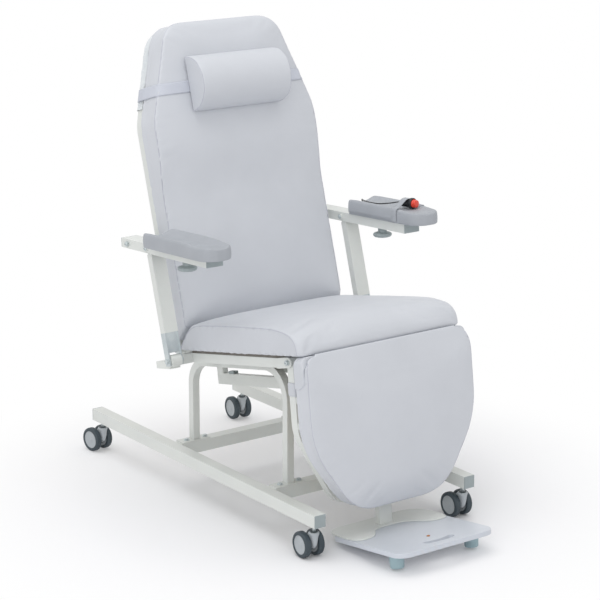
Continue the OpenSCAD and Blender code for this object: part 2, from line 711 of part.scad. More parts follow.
// The strap's front across the crown: place across its half width, height over the piped edge
strap_crown_shares = [[0, 0.93], [0.6, 0.9], [0.8, 0.73], [0.93, 0.46], [1, 0.13]];
strap_up = 818;
bolster_rear = back_face + ply_t + back_pad_t + back_crown * strap_crown_shares[0][1] + strap_t + 2 * gap;
bolster_shift = -4;
module head_bolster() {
    outline = divided(rounded([[-bolster_len / 2, -bolster_h / 2], [bolster_len / 2, -bolster_h / 2],
                               [bolster_len / 2, bolster_h / 2], [-bolster_len / 2, bolster_h / 2]],
                              [bolster_round, bolster_round, bolster_round, bolster_round], corner_steps),
                      bolster_h / 4);
    color(vinyl) on_back() translate([bolster_shift, -bolster_rear, bolster_up]) rotate([quarter, 0, 0])
        cushion(outline, [0, 0], function(p) 0,
            function(p) max(edge_t / 2, bolster_out * nose(bolster_h / 2 - abs(p[1]), bolster_h / 2, 2)),
            function(p) 0, function(p) 0);
}
bolster_round = 12;
// The strap runs round the cushion and the frame at its height: half its outline, front to rear
strap_half = back_half - (strap_up - strap_w / 2 - shoulder_up) * head_slope;
strap_top_share = 1 - strap_w * head_slope / strap_half;
strap_corner = 4;
function strap_outline(grow) =
    let (half = strap_half + grow, front = back_face + ply_t + back_pad_t + grow,
         rear = back_face + cover_t + 2 * gap + grow,
         right = [for (s = strap_crown_shares) [s[0] * half, -front - back_crown * s[1]]],
         side = [[half + gap, -front + edge_t], [half, rear - strap_corner], [half - strap_corner, rear]])
    concat(right, side, [for (i = [len(side) - 1 : -1 : 0]) [-side[i][0], side[i][1]]],
           [for (i = [len(right) - 1 : -1 : 1]) [-right[i][0], right[i][1]]]);
module bolster_strap() {
    color("white") on_back() translate([0, 0, strap_up - strap_w / 2])
        linear_extrude(strap_w, scale = [strap_top_share, 1]) difference() {
        polygon(strap_outline(strap_t + gap));
        polygon(strap_outline(gap));
    }
}

// Link bars: they carry the back's turn to the calf rest
link_h = 36;
link_top_n = -109;
link_wall = 3;
link_ear_w = 34;
module link_bars() {
    mid_n = link_top_n - link_h / 2;
    color(paint) on_seat() both_sides() difference() {
        plate_x(link_x - link_w / 2, link_x + link_w / 2) {
            translate([-link_front_f + link_h / 2, link_top_n - link_h])
                square([link_front_f - link_rear_f, link_h]);
            flat_bar([-link_rear_f, link_rear_n], [-link_rear_f, mid_n], link_ear_w);
            flat_bar([-link_front_f, link_front_n - link_drop], [-link_front_f + link_h, mid_n], link_ear_w);
        }
        // The bar is a channel between its two eyes
        block([link_x - link_w / 2 - over, -link_front_f + link_h + link_ear_w / 2, link_top_n - link_h + link_wall],
              [link_x + link_w / 2 - link_wall, -link_rear_f - link_ear_w, link_top_n - link_wall]);
        translate([0, -link_rear_f, link_rear_n])
            rod_x(link_pin_d + 2 * pin_fit, link_x - link_w, link_x + link_w);
        translate([0, -link_front_f, link_front_n - link_drop])
            rod_x(link_pin_d + 2 * link_play, link_x - link_w, link_x + link_w);
    }
}
// Play of the front pin, which lets the two levers keep one steady ratio, and how far the eye's
// middle lies below the pin at rest, in the middle of what the pin strays
link_play = 2.2;
link_drop = 1.4;
stop_f = 8;
stop_len = 30;
stop_h = 9;
module link_stops() {
    color(black) on_seat() both_sides() translate([link_x, -stop_f - stop_len / 2, link_top_n])
        box([link_w, stop_len, stop_h]);
}

// Arms
// Tail of the arm tube behind its rear pivot, its wall, and the slot that the post swings in
arm_tail = 36;
arm_wall = 2.5;
slot_rear = 15;
slot_front = 88;
swivel_y = -296;
stud_d = 10;
stud_gap = 0.3;
module arm_channel() {
    color(paint) on_arm() {
        difference() {
            translate([0, (arm_tail - arm_reach) / 2, 0])
                tube_y(arm_reach + arm_tail, arm_tube_w, arm_tube_h, arm_wall);
            rod_x(post_pin_d + 2 * pin_fit, -arm_tube_w, arm_tube_w);
            translate([0, -pivot_gap, 0]) block(
                [-post_w / 2 - over, -slot_front, -arm_tube_h / 2 - over],
                [post_w / 2 + over, slot_rear, 0]);
            translate([0, swivel_y, -arm_tube_h]) cylinder(d = stud_d + 2 * stud_gap, h = 2 * arm_tube_h);
        }
        translate([0, -pivot_gap, 0]) {
            rod_x(post_pin_d, -arm_tube_w / 2, arm_tube_w / 2);
            head_x(bolt_af, -arm_tube_w / 2 - bolt_head, -arm_tube_w / 2);
            head_x(bolt_af, arm_tube_w / 2, arm_tube_w / 2 + bolt_head);
        }
    }
}
module arm_caps() {
    color(cap_grey) on_arm() {
        translate([0, -arm_reach, 0]) rotate([quarter, 0, 0]) end_cap(arm_tube_w, arm_tube_h, arm_wall);
        translate([0, arm_tail, 0]) rotate([-quarter, 0, 0]) end_cap(arm_tube_w, arm_tube_h, arm_wall);
    }
}
module arm_channel_left() arm_channel();
module arm_channel_right() mirrored(-1) arm_channel();
module arm_caps_right() mirrored(-1) arm_caps();
// Grommet of the release cable in the outer side of the left arm tube
grommet_y = -140;
grommet_d = 12;
grommet_t = 4;
module arm_caps_left() {
    arm_caps();
    color(black) on_arm() translate([arm_tube_w / 2, grommet_y, 0]) rod_x(grommet_d, 0, grommet_t);
}

// Pads: ends ahead of the rear pivot, lips, dish and rounded corners
pad_rear_y = -160;
pad_base = arm_tube_h / 2 + stud_gap;
pad_dish = 12;
pad_lip = 10;
pad_edge_r = 9;
pad_front_r = 45;
pad_rear_r = 16;
pad_arc_steps = 12;
function pad_section(grow) =
    let (half = pad_w / 2 + grow, top = pad_t + grow, dish_half = half - pad_lip)
    concat(corner([0, -grow], [half, -grow], [half, top], pad_edge_r, corner_steps),
           corner([half, -grow], [half, top], [dish_half, top], pad_edge_r, corner_steps),
           [for (i = [0 : pad_arc_steps]) let (u = 1 - 2 * i / pad_arc_steps)
                [u * dish_half, top - pad_dish * cos(u * quarter)]],
           corner([-dish_half, top], [-half, top], [-half, -grow], pad_edge_r, corner_steps),
           corner([-half, top], [-half, -grow], [0, -grow], pad_edge_r, corner_steps));
module pad_form(grow) {
    intersection() {
        translate([pad_shift, pad_rear_y + grow, pad_base]) rotate([quarter, 0, 0])
            linear_extrude(pad_len + 2 * grow) polygon(pad_section(grow));
        translate([pad_shift, pad_rear_y, 0]) linear_extrude(pad_base + pad_t + pad_dish)
            polygon(rounded([[-pad_w / 2 - grow, grow], [-pad_w / 2 - grow, -pad_len - grow],
                             [pad_w / 2 + grow, -pad_len - grow], [pad_w / 2 + grow, grow]],
                            [pad_rear_r, pad_front_r, pad_front_r, pad_rear_r], corner_steps * 2));
    }
}
stud_deep = 20;
module arm_pad() {
    color(pad_grey) on_arm() difference() {
        pad_form(0);
        translate([0, swivel_y, 0]) cylinder(d = stud_d + 2 * stud_gap, h = pad_base + stud_deep);
    }
}
module arm_pad_left() arm_pad();
module arm_pad_right() mirrored(-1) arm_pad();
// Knob: stem and disc, with the stud that the pad swivels on
knob_stem_d = 27;
knob_stem_h = 15;
knob_t = 17;
knob_round = 6;
module clamp_knob() {
    color(cap_grey) on_arm() translate([0, swivel_y, -arm_tube_h / 2 - stud_gap]) {
        translate([0, 0, -knob_stem_h]) cylinder(d = knob_stem_d, h = knob_stem_h);
        translate([0, 0, -knob_stem_h - knob_t]) rotate_extrude() polygon(concat([[0, 0]],
            corner([0, 0], [knob_d / 2, 0], [knob_d / 2, knob_t], knob_round, corner_steps),
            corner([knob_d / 2, 0], [knob_d / 2, knob_t], [0, knob_t], knob_round, corner_steps),
            [[0, knob_t]]));
        cylinder(d = stud_d, h = arm_tube_h + stud_deep);
    }
}
module clamp_knob_left() clamp_knob();
module clamp_knob_right() mirrored(-1) clamp_knob();

// Posts: white tube above, zinc fork below, each on its lug of the seat
post_low = 90;
post_wall = 2;
post_head = 38;
fork_t = 5;
fork_low = 15;
fork_core_low = 26;
fork_core_up = 24;
module arm_post() {
    top = arm_pivot_up;
    color(paint) on_post() difference() {
        union() {
            translate([0, 0, post_low]) tube_z(post_w, post_d, top - slot_rear - 4 - post_low, post_wall);
            plate_x(-post_w / 2 + post_wall, post_w / 2 - post_wall)
                flat_bar([0, top - post_head], [0, top], post_d - 2 * post_wall);
        }
        translate([0, 0, top]) rod_x(post_pin_d + 2 * stud_gap, -post_w, post_w);
    }
}
module post_fork() {
    color(zinc) on_post() {
        both_sides() plate_x(post_w / 2 - fork_t, post_w / 2)
            flat_bar([0, 0], [0, post_low - post_d / 2], post_d);
        both_sides() plate_x(post_w / 2 - fork_t, post_w / 2) {
            translate([-post_d / 2, 0]) square([post_d, post_low]);
            translate([-post_d / 2, -fork_low]) square([post_d, fork_low]);
        }
        translate([0, 0, fork_core_low])
            box([post_w - 2 * fork_t, post_d - 2 * post_wall - gap, post_low - fork_core_low]);
        translate([0, 0, post_low])
            box([post_w - 2 * post_wall - gap, post_d - 2 * post_wall - gap, fork_core_up]);
        rod_x(post_pin_d, -post_w / 2 - over, post_w / 2 + over);
        head_x(bolt_af, post_w / 2, post_w / 2 + bolt_head);
        head_x(bolt_af, -post_w / 2 - bolt_head, -post_w / 2);
    }
}
module arm_post_left() arm_post();
module arm_post_right() mirrored(-1) arm_post();
module post_fork_left() post_fork();
module post_fork_right() mirrored(-1) post_fork();

// Release handset on the left pad
sleeve_t = 1.2;
sleeve_front_y = -366;
module pad_sleeve() {
    color(pad_grey) on_arm() difference() {
        pad_form(sleeve_t + stud_gap);
        pad_form(stud_gap);
        block([-pad_w, -arm_reach - pad_w, 0], [pad_w, sleeve_front_y, pad_base + 2 * pad_t]);
        block([-pad_w, -arm_reach - pad_w, 0], [pad_w, over, pad_base]);
        block([-pad_w, pad_rear_y - sleeve_t, 0], [pad_w, 0, pad_base + 2 * pad_t]);
    }
}
handset_at = [26, -388, 71.8];
handset_turn = 12;
handset_d = 26;
handset_rear = 12;
handset_collar_d = 36;
collar_from = 22;
collar_to = 34;
button_d = 27;
button_deep = 9;
button_out = 14;
gland_d = 9;
gland_len = 14;
module on_handset() { on_arm() translate(handset_at) rotate([0, 0, handset_turn]) children(); }
module handset() {
    color(black) on_handset() difference() {
        union() {
            rod_y(handset_d, -collar_from, handset_rear);
            rod_y(handset_collar_d, -collar_to, -collar_from);
            rod_y(gland_d, handset_rear - over, handset_rear + gland_len);
        }
        rod_y(button_d + 2 * stud_gap, -collar_to - over, -collar_to + button_deep);
    }
}
module handset_button() {
    color(red) on_handset() rod_y(button_d, -collar_to - button_out, -collar_to + button_deep - button_travel - gap);
}
button_travel = 2.5;
// Cable route on the left arm, from the handset's gland to the grommet
cable_d = 4;
cable_sides = 8;
cable_route = [[20.6, -362.6, 71.8], [19.8, -358.7, 71.6], [17, -350, 70], [9, -336, 67], [-5, -320, 65],
               [-15, -298, 63], [-9, -260, 60.6], [2, -220, 57.7], [14, -185, 56.1], [22, -165, 56],
               [26, -157, 55.6], [31, -151, 51], [37, -147, 43], [44, -144, 33], [50, -142, 22],
               [52.5, -141, 12], [50, -140, 4], [44.5, -140, 0.4], [39, -140, 0], [34.1, -140, 0]];
// Extra points between two route points, for an even curve
cable_steps = 3;
function route_point(r, i) = r[max(0, min(len(r) - 1, i))];
function curve_point(r, i, t) =
    let (a = route_point(r, i - 1), b = route_point(r, i), c = route_point(r, i + 1), d = route_point(r, i + 2))
    (2 * b + (c - a) * t + (2 * a - 5 * b + 4 * c - d) * t * t + (3 * b - a - 3 * c + d) * t * t * t) / 2;
function curve(r, k) = concat(
    [for (i = [0 : len(r) - 2]) for (j = [0 : k - 1]) curve_point(r, i, j / k)], [r[len(r) - 1]]);
module swept_tube(path, d, sides) {
    n = len(path);
    ways = [for (i = [0 : n - 1]) unit(path[min(n - 1, i + 1)] - path[max(0, i - 1)])];
    rings = [for (i = [0 : n - 1])
        let (w = ways[i], u = unit(cross(w, abs(w[2]) > 0.9 ? [1, 0, 0] : [0, 0, 1])), v = cross(u, w))
        [for (k = [0 : sides - 1]) path[i] + d / 2 * (u * cos(360 * k / sides) + v * sin(360 * k / sides))]];
    faces = concat([[for (k = [0 : sides - 1]) k]],
        [for (i = [0 : n - 2]) for (k = [0 : sides - 1]) let (m = (k + 1) % sides)
            each [[i * sides + k, (i + 1) * sides + k, i * sides + m],
                  [i * sides + m, (i + 1) * sides + k, (i + 1) * sides + m]]],
        [[for (k = [sides - 1 : -1 : 0]) (n - 1) * sides + k]]);
    polyhedron([for (ring = rings) each ring], faces);
}
module release_cable() { color(black) on_arm() swept_tube(curve(cable_route, cable_steps), cable_d, cable_sides); }

// Calf rest, drawn from its hinge: -Y is its front and -Z runs down it
// Where the calf tube bends in, and its lower bar
calf_bend_z = -222;
calf_bar_z = -452;
calf_bar_x = 150;
calf_bend_r = 130;
calf_foot_r = 70;
calf_cross_z = -42;
calf_face = 50;
socket_wall = 2.5;
socket_low = -474;
socket_up = -392;
foot_post_y = -38;
standoff_w = 20;
standoff_zs = [-126, -205];
calf_turn = calf_tilt - seat_tilt;
function seat_to_calf(f, n) =
    let (y = calf_hinge_f - f, z = n + calf_hinge_drop)
    [y * cos(calf_turn) - z * sin(calf_turn), y * sin(calf_turn) + z * cos(calf_turn)];
module foot_socket(grow, from, to) {
    translate([0, foot_post_y, from]) box([foot_post_w + 2 * grow, foot_post_d + 2 * grow, to - from]);
}
module calf_frame() {
    color(paint) on_calf() {
        difference() {
            union() {
                rotate([quarter, 0, 0]) bent_tube(
                    [[calf_tube_x, 0], [calf_tube_x, calf_bend_z], [calf_bar_x, calf_bar_z],
                     [-calf_bar_x, calf_bar_z], [-calf_tube_x, calf_bend_z], [-calf_tube_x, 0]],
                    [0, calf_bend_r, calf_foot_r, calf_foot_r, calf_bend_r, 0],
                    frame_tube_w, back_tube_d, seat_wall);
                both_sides() rod_x(back_tube_d - gap, calf_tube_out - frame_tube_w, calf_tube_out);
            }
            both_sides() rod_x(bolt_d + 2 * pin_fit, calf_tube_out - frame_tube_w - over, calf_tube_out + over);
        }
        // Standoffs that carry the board
        both_sides() for (z = standoff_zs)
            block([calf_tube_out - frame_tube_w, -calf_face, z], [calf_tube_out - seat_wall, -back_tube_d / 2, z + standoff_w]);
        // Socket of the footrest post, welded in front of the lower bar
        difference() {
            foot_socket(socket_wall + gap, socket_low, socket_up);
            foot_socket(gap, socket_low - over, socket_up + over);
        }
    }
}
// Upper crossbar of the calf frame, with the levers that the link bars turn
module calf_crossbar() {
    pin = seat_to_calf(link_front_f, link_front_n);
    color(paint) on_calf() {
        translate([0, 0, calf_cross_z])
            tube_x(2 * (calf_tube_out - frame_tube_w), back_tube_d, lever_bar_h, seat_wall);
        both_sides() {
            plate_x(lever_x - lug_t / 2, lever_x + lug_t / 2)
                flat_bar(pin, [back_tube_d / 4, calf_cross_z], lever_w);
            translate([0, pin[0], pin[1]]) {
                rod_x(link_pin_d, lever_x, link_x + link_w / 2 + gap);
                head_x(bolt_af, link_x + link_w / 2 + gap, link_x + link_w / 2 + gap + lug_t);
            }
        }
    }
}
// Soft sleeves on the calf tubes below the hinge
sleeve_low = -104;
sleeve_up = -62;
calf_sleeve_t = 3;
module calf_sleeves() {
    color(vinyl) on_calf() both_sides() translate([calf_tube_x, 0, sleeve_low]) linear_extrude(sleeve_up - sleeve_low)
        difference() {
            square([frame_tube_w + 2 * calf_sleeve_t, back_tube_d + 2 * calf_sleeve_t], center = true);
            square([frame_tube_w, back_tube_d], center = true);
        }
}
// Rise of the calf cushion's lip in front of the seat's nose, and its lower corners
calf_lip = 38;
calf_corner_r = 45;
calf_side_z = -250;
calf_side_r = 290;
calf_low_x = 165;
calf_low_r = 160;
function calf_outline(in, top) =
    rounded([[-calf_half + in, top], [-calf_half + in, calf_side_z], [-calf_low_x + in, -calf_len + in],
             [calf_low_x - in, -calf_len + in], [calf_half - in, calf_side_z], [calf_half - in, top]],
            [calf_corner_r, calf_side_r, calf_low_r, calf_low_r, calf_side_r, calf_corner_r], corner_steps);
calf_board_top = -96;
calf_board_in = 34;
module calf_board() {
    color(ply) on_calf() translate([0, -calf_face, 0]) rotate([quarter, 0, 0]) linear_extrude(ply_t) difference() {
        polygon(calf_outline(calf_board_in, calf_board_top));
        translate([-(foot_post_w / 2 + socket_wall + 2 * gap), -calf_len])
            square([foot_post_w + 2 * socket_wall + 4 * gap, calf_len + socket_up + gap]);
    }
}
// The lip clears the seat's nose by this much, measured from the calf hinge
lip_clear = 4;
seat_nose_bulge = 6;
lip_rear = seat_nose_f - calf_hinge_f + seat_nose_bulge + lip_clear;
lip_from = -80;
lip_to = -30;
lip_thin = 6;
calf_roll = 60;
module calf_cushion() {
    rear = calf_face + ply_t;
    color(vinyl) on_calf() translate([0, -rear, 0]) rotate([quarter, 0, 0])
        cushion(divided(calf_outline(0, calf_lip), cushion_step), [0, (calf_lip - calf_len) / 2],
            function(p) (lip_rear - rear) * smooth((p[1] - lip_from) / (lip_to - lip_from)),
            function(p) calf_pad_t * (0.7 + 0.3 * nose(p[1] + calf_len, calf_roll, 2))
                        - lip_thin * pow(clamp01((p[1] + calf_roll) / (calf_roll + calf_lip)), 2),
            function(p) calf_crown * (1 - smooth((p[1] + calf_roll) / calf_roll)),
            function(p) 0);
}

// Footrest
// Top face of the footboard below the calf hinge, and its front edge ahead of the calf tubes
foot_z = -554;
foot_front = 350;
bracket_t = 5;
post_up = -330;
module foot_post() {
    color(paint) on_calf() foot_socket(0, foot_z + bracket_t, post_up);
}
// Wing bracket: rear edge behind the post and its corners, tips and centre notch
wing_rear = 38;
wing_rear_r = 45;
wing_tip = 104;
wing_front = 132;
wing_notch_x = 76;
wing_notch = 66;
wing_r = 14;
module foot_bracket() {
    color(zinc) on_calf() {
        translate([0, 0, foot_z]) linear_extrude(bracket_t) polygon(rounded(
            [[-board_w / 2, wing_rear], [-board_w / 2, -wing_tip], [-board_w / 2 + wing_r, -wing_front],
             [-wing_notch_x - wing_r, -wing_front], [-wing_notch_x + wing_r, -wing_notch],
             [wing_notch_x - wing_r, -wing_notch], [wing_notch_x + wing_r, -wing_front],
             [board_w / 2 - wing_r, -wing_front], [board_w / 2, -wing_tip], [board_w / 2, wing_rear]],
            [wing_rear_r, wing_r / 2, wing_r / 2, wing_r, wing_r, wing_r, wing_r, wing_r / 2, wing_r / 2, wing_rear_r],
            corner_steps));
        // Round-headed screw ahead of the bracket
        translate([0, -screw_y, foot_z]) cylinder(d = screw_d, h = screw_h);
    }
}
screw_y = 251;
screw_d = 12;
screw_h = 3;
board_corner_r = 42;
slot_len_angle = 30;
slot_r = 180;
slot_w = 22;
slot_y = 308;
module footboard() {
    color(vinyl) on_calf() translate([0, 0, foot_z - board_t]) difference() {
        linear_extrude(board_t) polygon(rounded(
            [[-board_w / 2, board_d - foot_front], [-board_w / 2, -foot_front], [board_w / 2, -foot_front],
             [board_w / 2, board_d - foot_front]],
            [wing_r, board_corner_r, board_corner_r, wing_r], corner_steps * 2));
        translate([0, -slot_y + slot_r, -over]) {
            rotate([0, 0, -quarter - slot_len_angle / 2]) rotate_extrude(angle = slot_len_angle)
                translate([slot_r - slot_w / 2, 0]) square([slot_w, board_t + 2 * over]);
            for (end = [-1, 1]) rotate([0, 0, end * slot_len_angle / 2]) translate([0, -slot_r, 0])
                cylinder(d = slot_w, h = board_t + 2 * over);
        }
    }
}
feet_y = 276;
foot_top_d = 48;
foot_low_d = 40;
foot_h = 45;
module foot_pads() {
    color(cap_grey) on_calf() both_sides() translate([feet_gauge / 2, -feet_y, foot_z - board_t - foot_h])
        cylinder(d1 = foot_low_d, d2 = foot_top_d, h = foot_h);
}

base_rails();
base_cross_members();
rail_end_caps();
hoop_right();
hoop_left();
foot_plate_bolts();
caster_stems();
caster_place(1) caster_housing();  // caster_housing_1
caster_place(1) caster_tyres();  // caster_tyres_1
caster_place(1) caster_hubs();  // caster_hubs_1
caster_place(2) caster_housing();  // caster_housing_2
caster_place(2) caster_tyres();  // caster_tyres_2
caster_place(2) caster_hubs();  // caster_hubs_2
caster_place(3) caster_housing();  // caster_housing_3
caster_place(3) caster_tyres();  // caster_tyres_3
caster_place(3) caster_hubs();  // caster_hubs_3
caster_place(4) caster_housing();  // caster_housing_4
caster_place(4) caster_tyres();  // caster_tyres_4
caster_place(4) caster_hubs();  // caster_hubs_4
seat_rails();
seat_cross_tubes();
calf_hinge_ears();
hinge_bolts();
seat_board();
seat_cushion();
back_frame();
back_lever_bar();
arm_axles();
back_board();
back_cushion();
head_cover();
head_bolster();
bolster_strap();
link_bars();
link_stops();
arm_channel_right();
arm_caps_right();
arm_pad_right();
clamp_knob_right();
arm_post_right();
post_fork_right();
arm_channel_left();
arm_caps_left();
arm_pad_left();
clamp_knob_left();
arm_post_left();
post_fork_left();
pad_sleeve();
handset();
handset_button();
release_cable();
calf_frame();
calf_crossbar();
calf_sleeves();
calf_board();
calf_cushion();
foot_post();
foot_bracket();
footboard();
foot_pads();
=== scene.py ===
"""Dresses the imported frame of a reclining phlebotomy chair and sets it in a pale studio.

Each class builds one sub-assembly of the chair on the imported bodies. Sizes are in millimetres in
the drawing frame of the piece, and the meshes are in metres in the frame of the whole chair.
"""

from __future__ import annotations

import json
import logging
import math
from dataclasses import dataclass, field
from enum import Enum
from typing import Callable, Iterable, Sequence

import bmesh
import bpy
import numpy as np
from mathutils import Matrix, Vector, noise
from mathutils.bvhtree import BVHTree

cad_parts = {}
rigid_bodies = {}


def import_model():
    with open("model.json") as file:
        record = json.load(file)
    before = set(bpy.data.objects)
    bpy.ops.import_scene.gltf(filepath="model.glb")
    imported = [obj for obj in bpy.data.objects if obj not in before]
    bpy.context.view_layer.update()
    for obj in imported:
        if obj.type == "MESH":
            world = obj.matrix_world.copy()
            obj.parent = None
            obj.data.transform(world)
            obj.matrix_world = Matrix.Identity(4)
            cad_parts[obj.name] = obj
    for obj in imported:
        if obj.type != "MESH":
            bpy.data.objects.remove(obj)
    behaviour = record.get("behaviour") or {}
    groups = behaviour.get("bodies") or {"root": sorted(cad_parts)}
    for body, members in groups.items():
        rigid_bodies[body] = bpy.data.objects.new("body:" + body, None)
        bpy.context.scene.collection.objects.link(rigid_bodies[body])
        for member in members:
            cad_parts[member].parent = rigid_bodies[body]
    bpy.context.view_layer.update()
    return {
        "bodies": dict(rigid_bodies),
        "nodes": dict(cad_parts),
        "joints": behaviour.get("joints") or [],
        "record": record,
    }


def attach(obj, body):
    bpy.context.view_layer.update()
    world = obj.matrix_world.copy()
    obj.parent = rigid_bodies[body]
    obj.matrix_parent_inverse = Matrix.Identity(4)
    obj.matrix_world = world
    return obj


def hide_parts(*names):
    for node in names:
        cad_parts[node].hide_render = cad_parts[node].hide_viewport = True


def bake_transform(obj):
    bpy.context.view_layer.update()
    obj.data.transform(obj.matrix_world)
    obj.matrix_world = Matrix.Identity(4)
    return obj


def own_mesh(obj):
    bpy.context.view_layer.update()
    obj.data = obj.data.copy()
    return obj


LOG = logging.getLogger("phlebotomy_chair")
MM = 0.001
FULL_TURN = 2 * math.pi
Colour = tuple[float, float, float, float]
Outline = list[tuple[float, float]]
Profile = tuple[tuple[float, float], ...]


# Plain sums


def paint(red: float, green: float, blue: float) -> Colour:
    """Turns an sRGB colour of 0 to 255 into linear RGBA.

    Args:
        red: The red share.
        green: The green share.
        blue: The blue share.

    Returns:
        The linear colour with full alpha.
    """
    linear = [(c / 255 / 12.92) if c / 255 <= 0.04045 else ((c / 255 + 0.055) / 1.055) ** 2.4
              for c in (red, green, blue)]
    return linear[0], linear[1], linear[2], 1.0


def smooth(value: float) -> float:
    """A soft step from 0 to 1 as value goes from 0 to 1."""
    v = max(0.0, min(1.0, value))
    return v * v * (3 - 2 * v)


def nose(distance: float, run: float, power: float) -> float:
    """Share of full thickness at a distance from an edge that rolls off over a run.

    Args:
        distance: How far inside the edge the point lies.
        run: The length over which the edge rolls off.
        power: The power of the superellipse; 2 is an ellipse.

    Returns:
        The share, from 0 at the edge to 1 past the run.
    """
    if distance >= run:
        return 1.0
    inner = max(0.0, min(1.0, 1 - distance / run))
    return max(0.0, 1 - inner ** power) ** (1 / power)


def rounded(points: Outline, radii: Sequence[float], steps: int = 10) -> Outline:
    """A closed outline whose corners are rounded.

    Args:
        points: The sharp corners, in order.
        radii: The radius at each corner.
        steps: Steps of each corner arc.

    Returns:
        The points of the rounded outline.
    """
    out: Outline = []
    count = len(points)
    for i, radius in enumerate(radii):
        p, q, s = (np.array(points[k % count], float) for k in (i - 1, i, i + 1))
        if radius == 0:
            out.append((q[0], q[1]))
            continue
        a, b = (p - q) / np.linalg.norm(p - q), (s - q) / np.linalg.norm(s - q)
        half = math.acos(float(np.clip(a @ b, -1, 1))) / 2
        middle = q + (a + b) / np.linalg.norm(a + b) * radius / math.sin(half)
        start, end = q + a * radius / math.tan(half), q + b * radius / math.tan(half)
        a0 = math.atan2(*(start - middle)[::-1])
        sweep = math.atan2(*(end - middle)[::-1]) - a0
        sweep = (sweep + math.pi) % FULL_TURN - math.pi
        for k in range(steps + 1):
            angle = a0 + sweep * k / steps
            out.append((middle[0] + radius * math.cos(angle), middle[1] + radius * math.sin(angle)))
    return out


def divided(points: Outline, step: float) -> np.ndarray:
    """Divides the edges of a closed outline.

    Args:
        points: The points of the outline.
        step: The longest edge that stays whole.

    Returns:
        The outline as an array, with no edge longer than step.
    """
    out = []
    for i, start in enumerate(points):
        p, q = np.array(start), np.array(points[(i + 1) % len(points)])
        parts = max(1, math.ceil(float(np.linalg.norm(q - p)) / step))
        out += [p + (q - p) * k / parts for k in range(parts)]
    return np.array(out)


def curve_through(points: Sequence[Sequence[float]], steps: int) -> np.ndarray:
    """A smooth open curve through points.

    Args:
        points: The points that the curve passes.
        steps: Steps between two points.

    Returns:
        The points of the curve, both ends included.
    """
    p = np.array(points, float)
    last = len(p) - 1
    out = []
    for i in range(last):
        a, b, c, d = p[max(0, i - 1)], p[i], p[i + 1], p[min(last, i + 2)]
        for k in range(steps):
            t = k / steps
            out.append((2 * b + (c - a) * t + (2 * a - 5 * b + 4 * c - d) * t * t
                        + (3 * b - a - 3 * c + d) * t ** 3) / 2)
    out.append(p[last])
    return np.array(out)


def unit(vectors: np.ndarray) -> np.ndarray:
    """Brings a vector, or each row of an array, to a length of 1.

    Args:
        vectors: The vector or the rows.

    Returns:
        The same directions, each 1 long.
    """
    if vectors.ndim == 1:
        return vectors / np.linalg.norm(vectors)
    return vectors / np.linalg.norm(vectors, axis=1)[:, None]


def letter(side: int) -> str:
    """The letter of a side in a piece's name."""
    return "r" if side < 0 else "l"


@dataclass(frozen=True)
class Place:
    """A drawing frame: where it stands in mm, and how far it leans back about X, in degrees."""

    y: float
    z: float
    lean: float
    x: float = 0.0

    def world(self, points: Iterable[Sequence[float]], side: int = 1) -> np.ndarray:
        """Turns local points into the chair's frame.

        Args:
            points: Local points in mm.
            side: 1 for the sitter's left, -1 to mirror them to the right.

        Returns:
            The points in metres.
        """
        p = np.atleast_2d(np.array(points, float))
        c, s = math.cos(math.radians(self.lean)), math.sin(math.radians(self.lean))
        return np.column_stack([side * (self.x + p[:, 0]), self.y + p[:, 1] * c + p[:, 2] * s,
                                self.z - p[:, 1] * s + p[:, 2] * c]) * MM

    def way(self, x: float, y: float, z: float) -> np.ndarray:
        """The unit direction in the chair's frame of a local direction."""
        return unit(self.world([[x, y, z]])[0] - self.world([[0, 0, 0]])[0])


SEAT = Place(222.75, 481, 11.6)
BACK = Place(222.75, 481, 16.5)
CALF = Place(-369.42, 580.10, 7.5)
ARM = Place(325.28, 827.13, 3.4, 382)


# Finishes


class Relief(Enum):
    """The fine relief that a finish carries."""

    HIDE = "hide"
    PEEL = "peel"
    WEAVE = "weave"
    BRUSHED = "brushed"
    CRINKLE = "crinkle"


def add_node(tree: bpy.types.NodeTree, kind: str,
             values: dict[str | int, object] | None = None) -> bpy.types.Node:
    """Adds a node to a tree.

    Args:
        tree: The tree.
        kind: The node's type.
        values: What some of its inputs hold, by name or number.

    Returns:
        The node.
    """
    node = tree.nodes.new(kind)
    for socket, value in (values or {}).items():
        node.inputs[socket].default_value = value
    return node


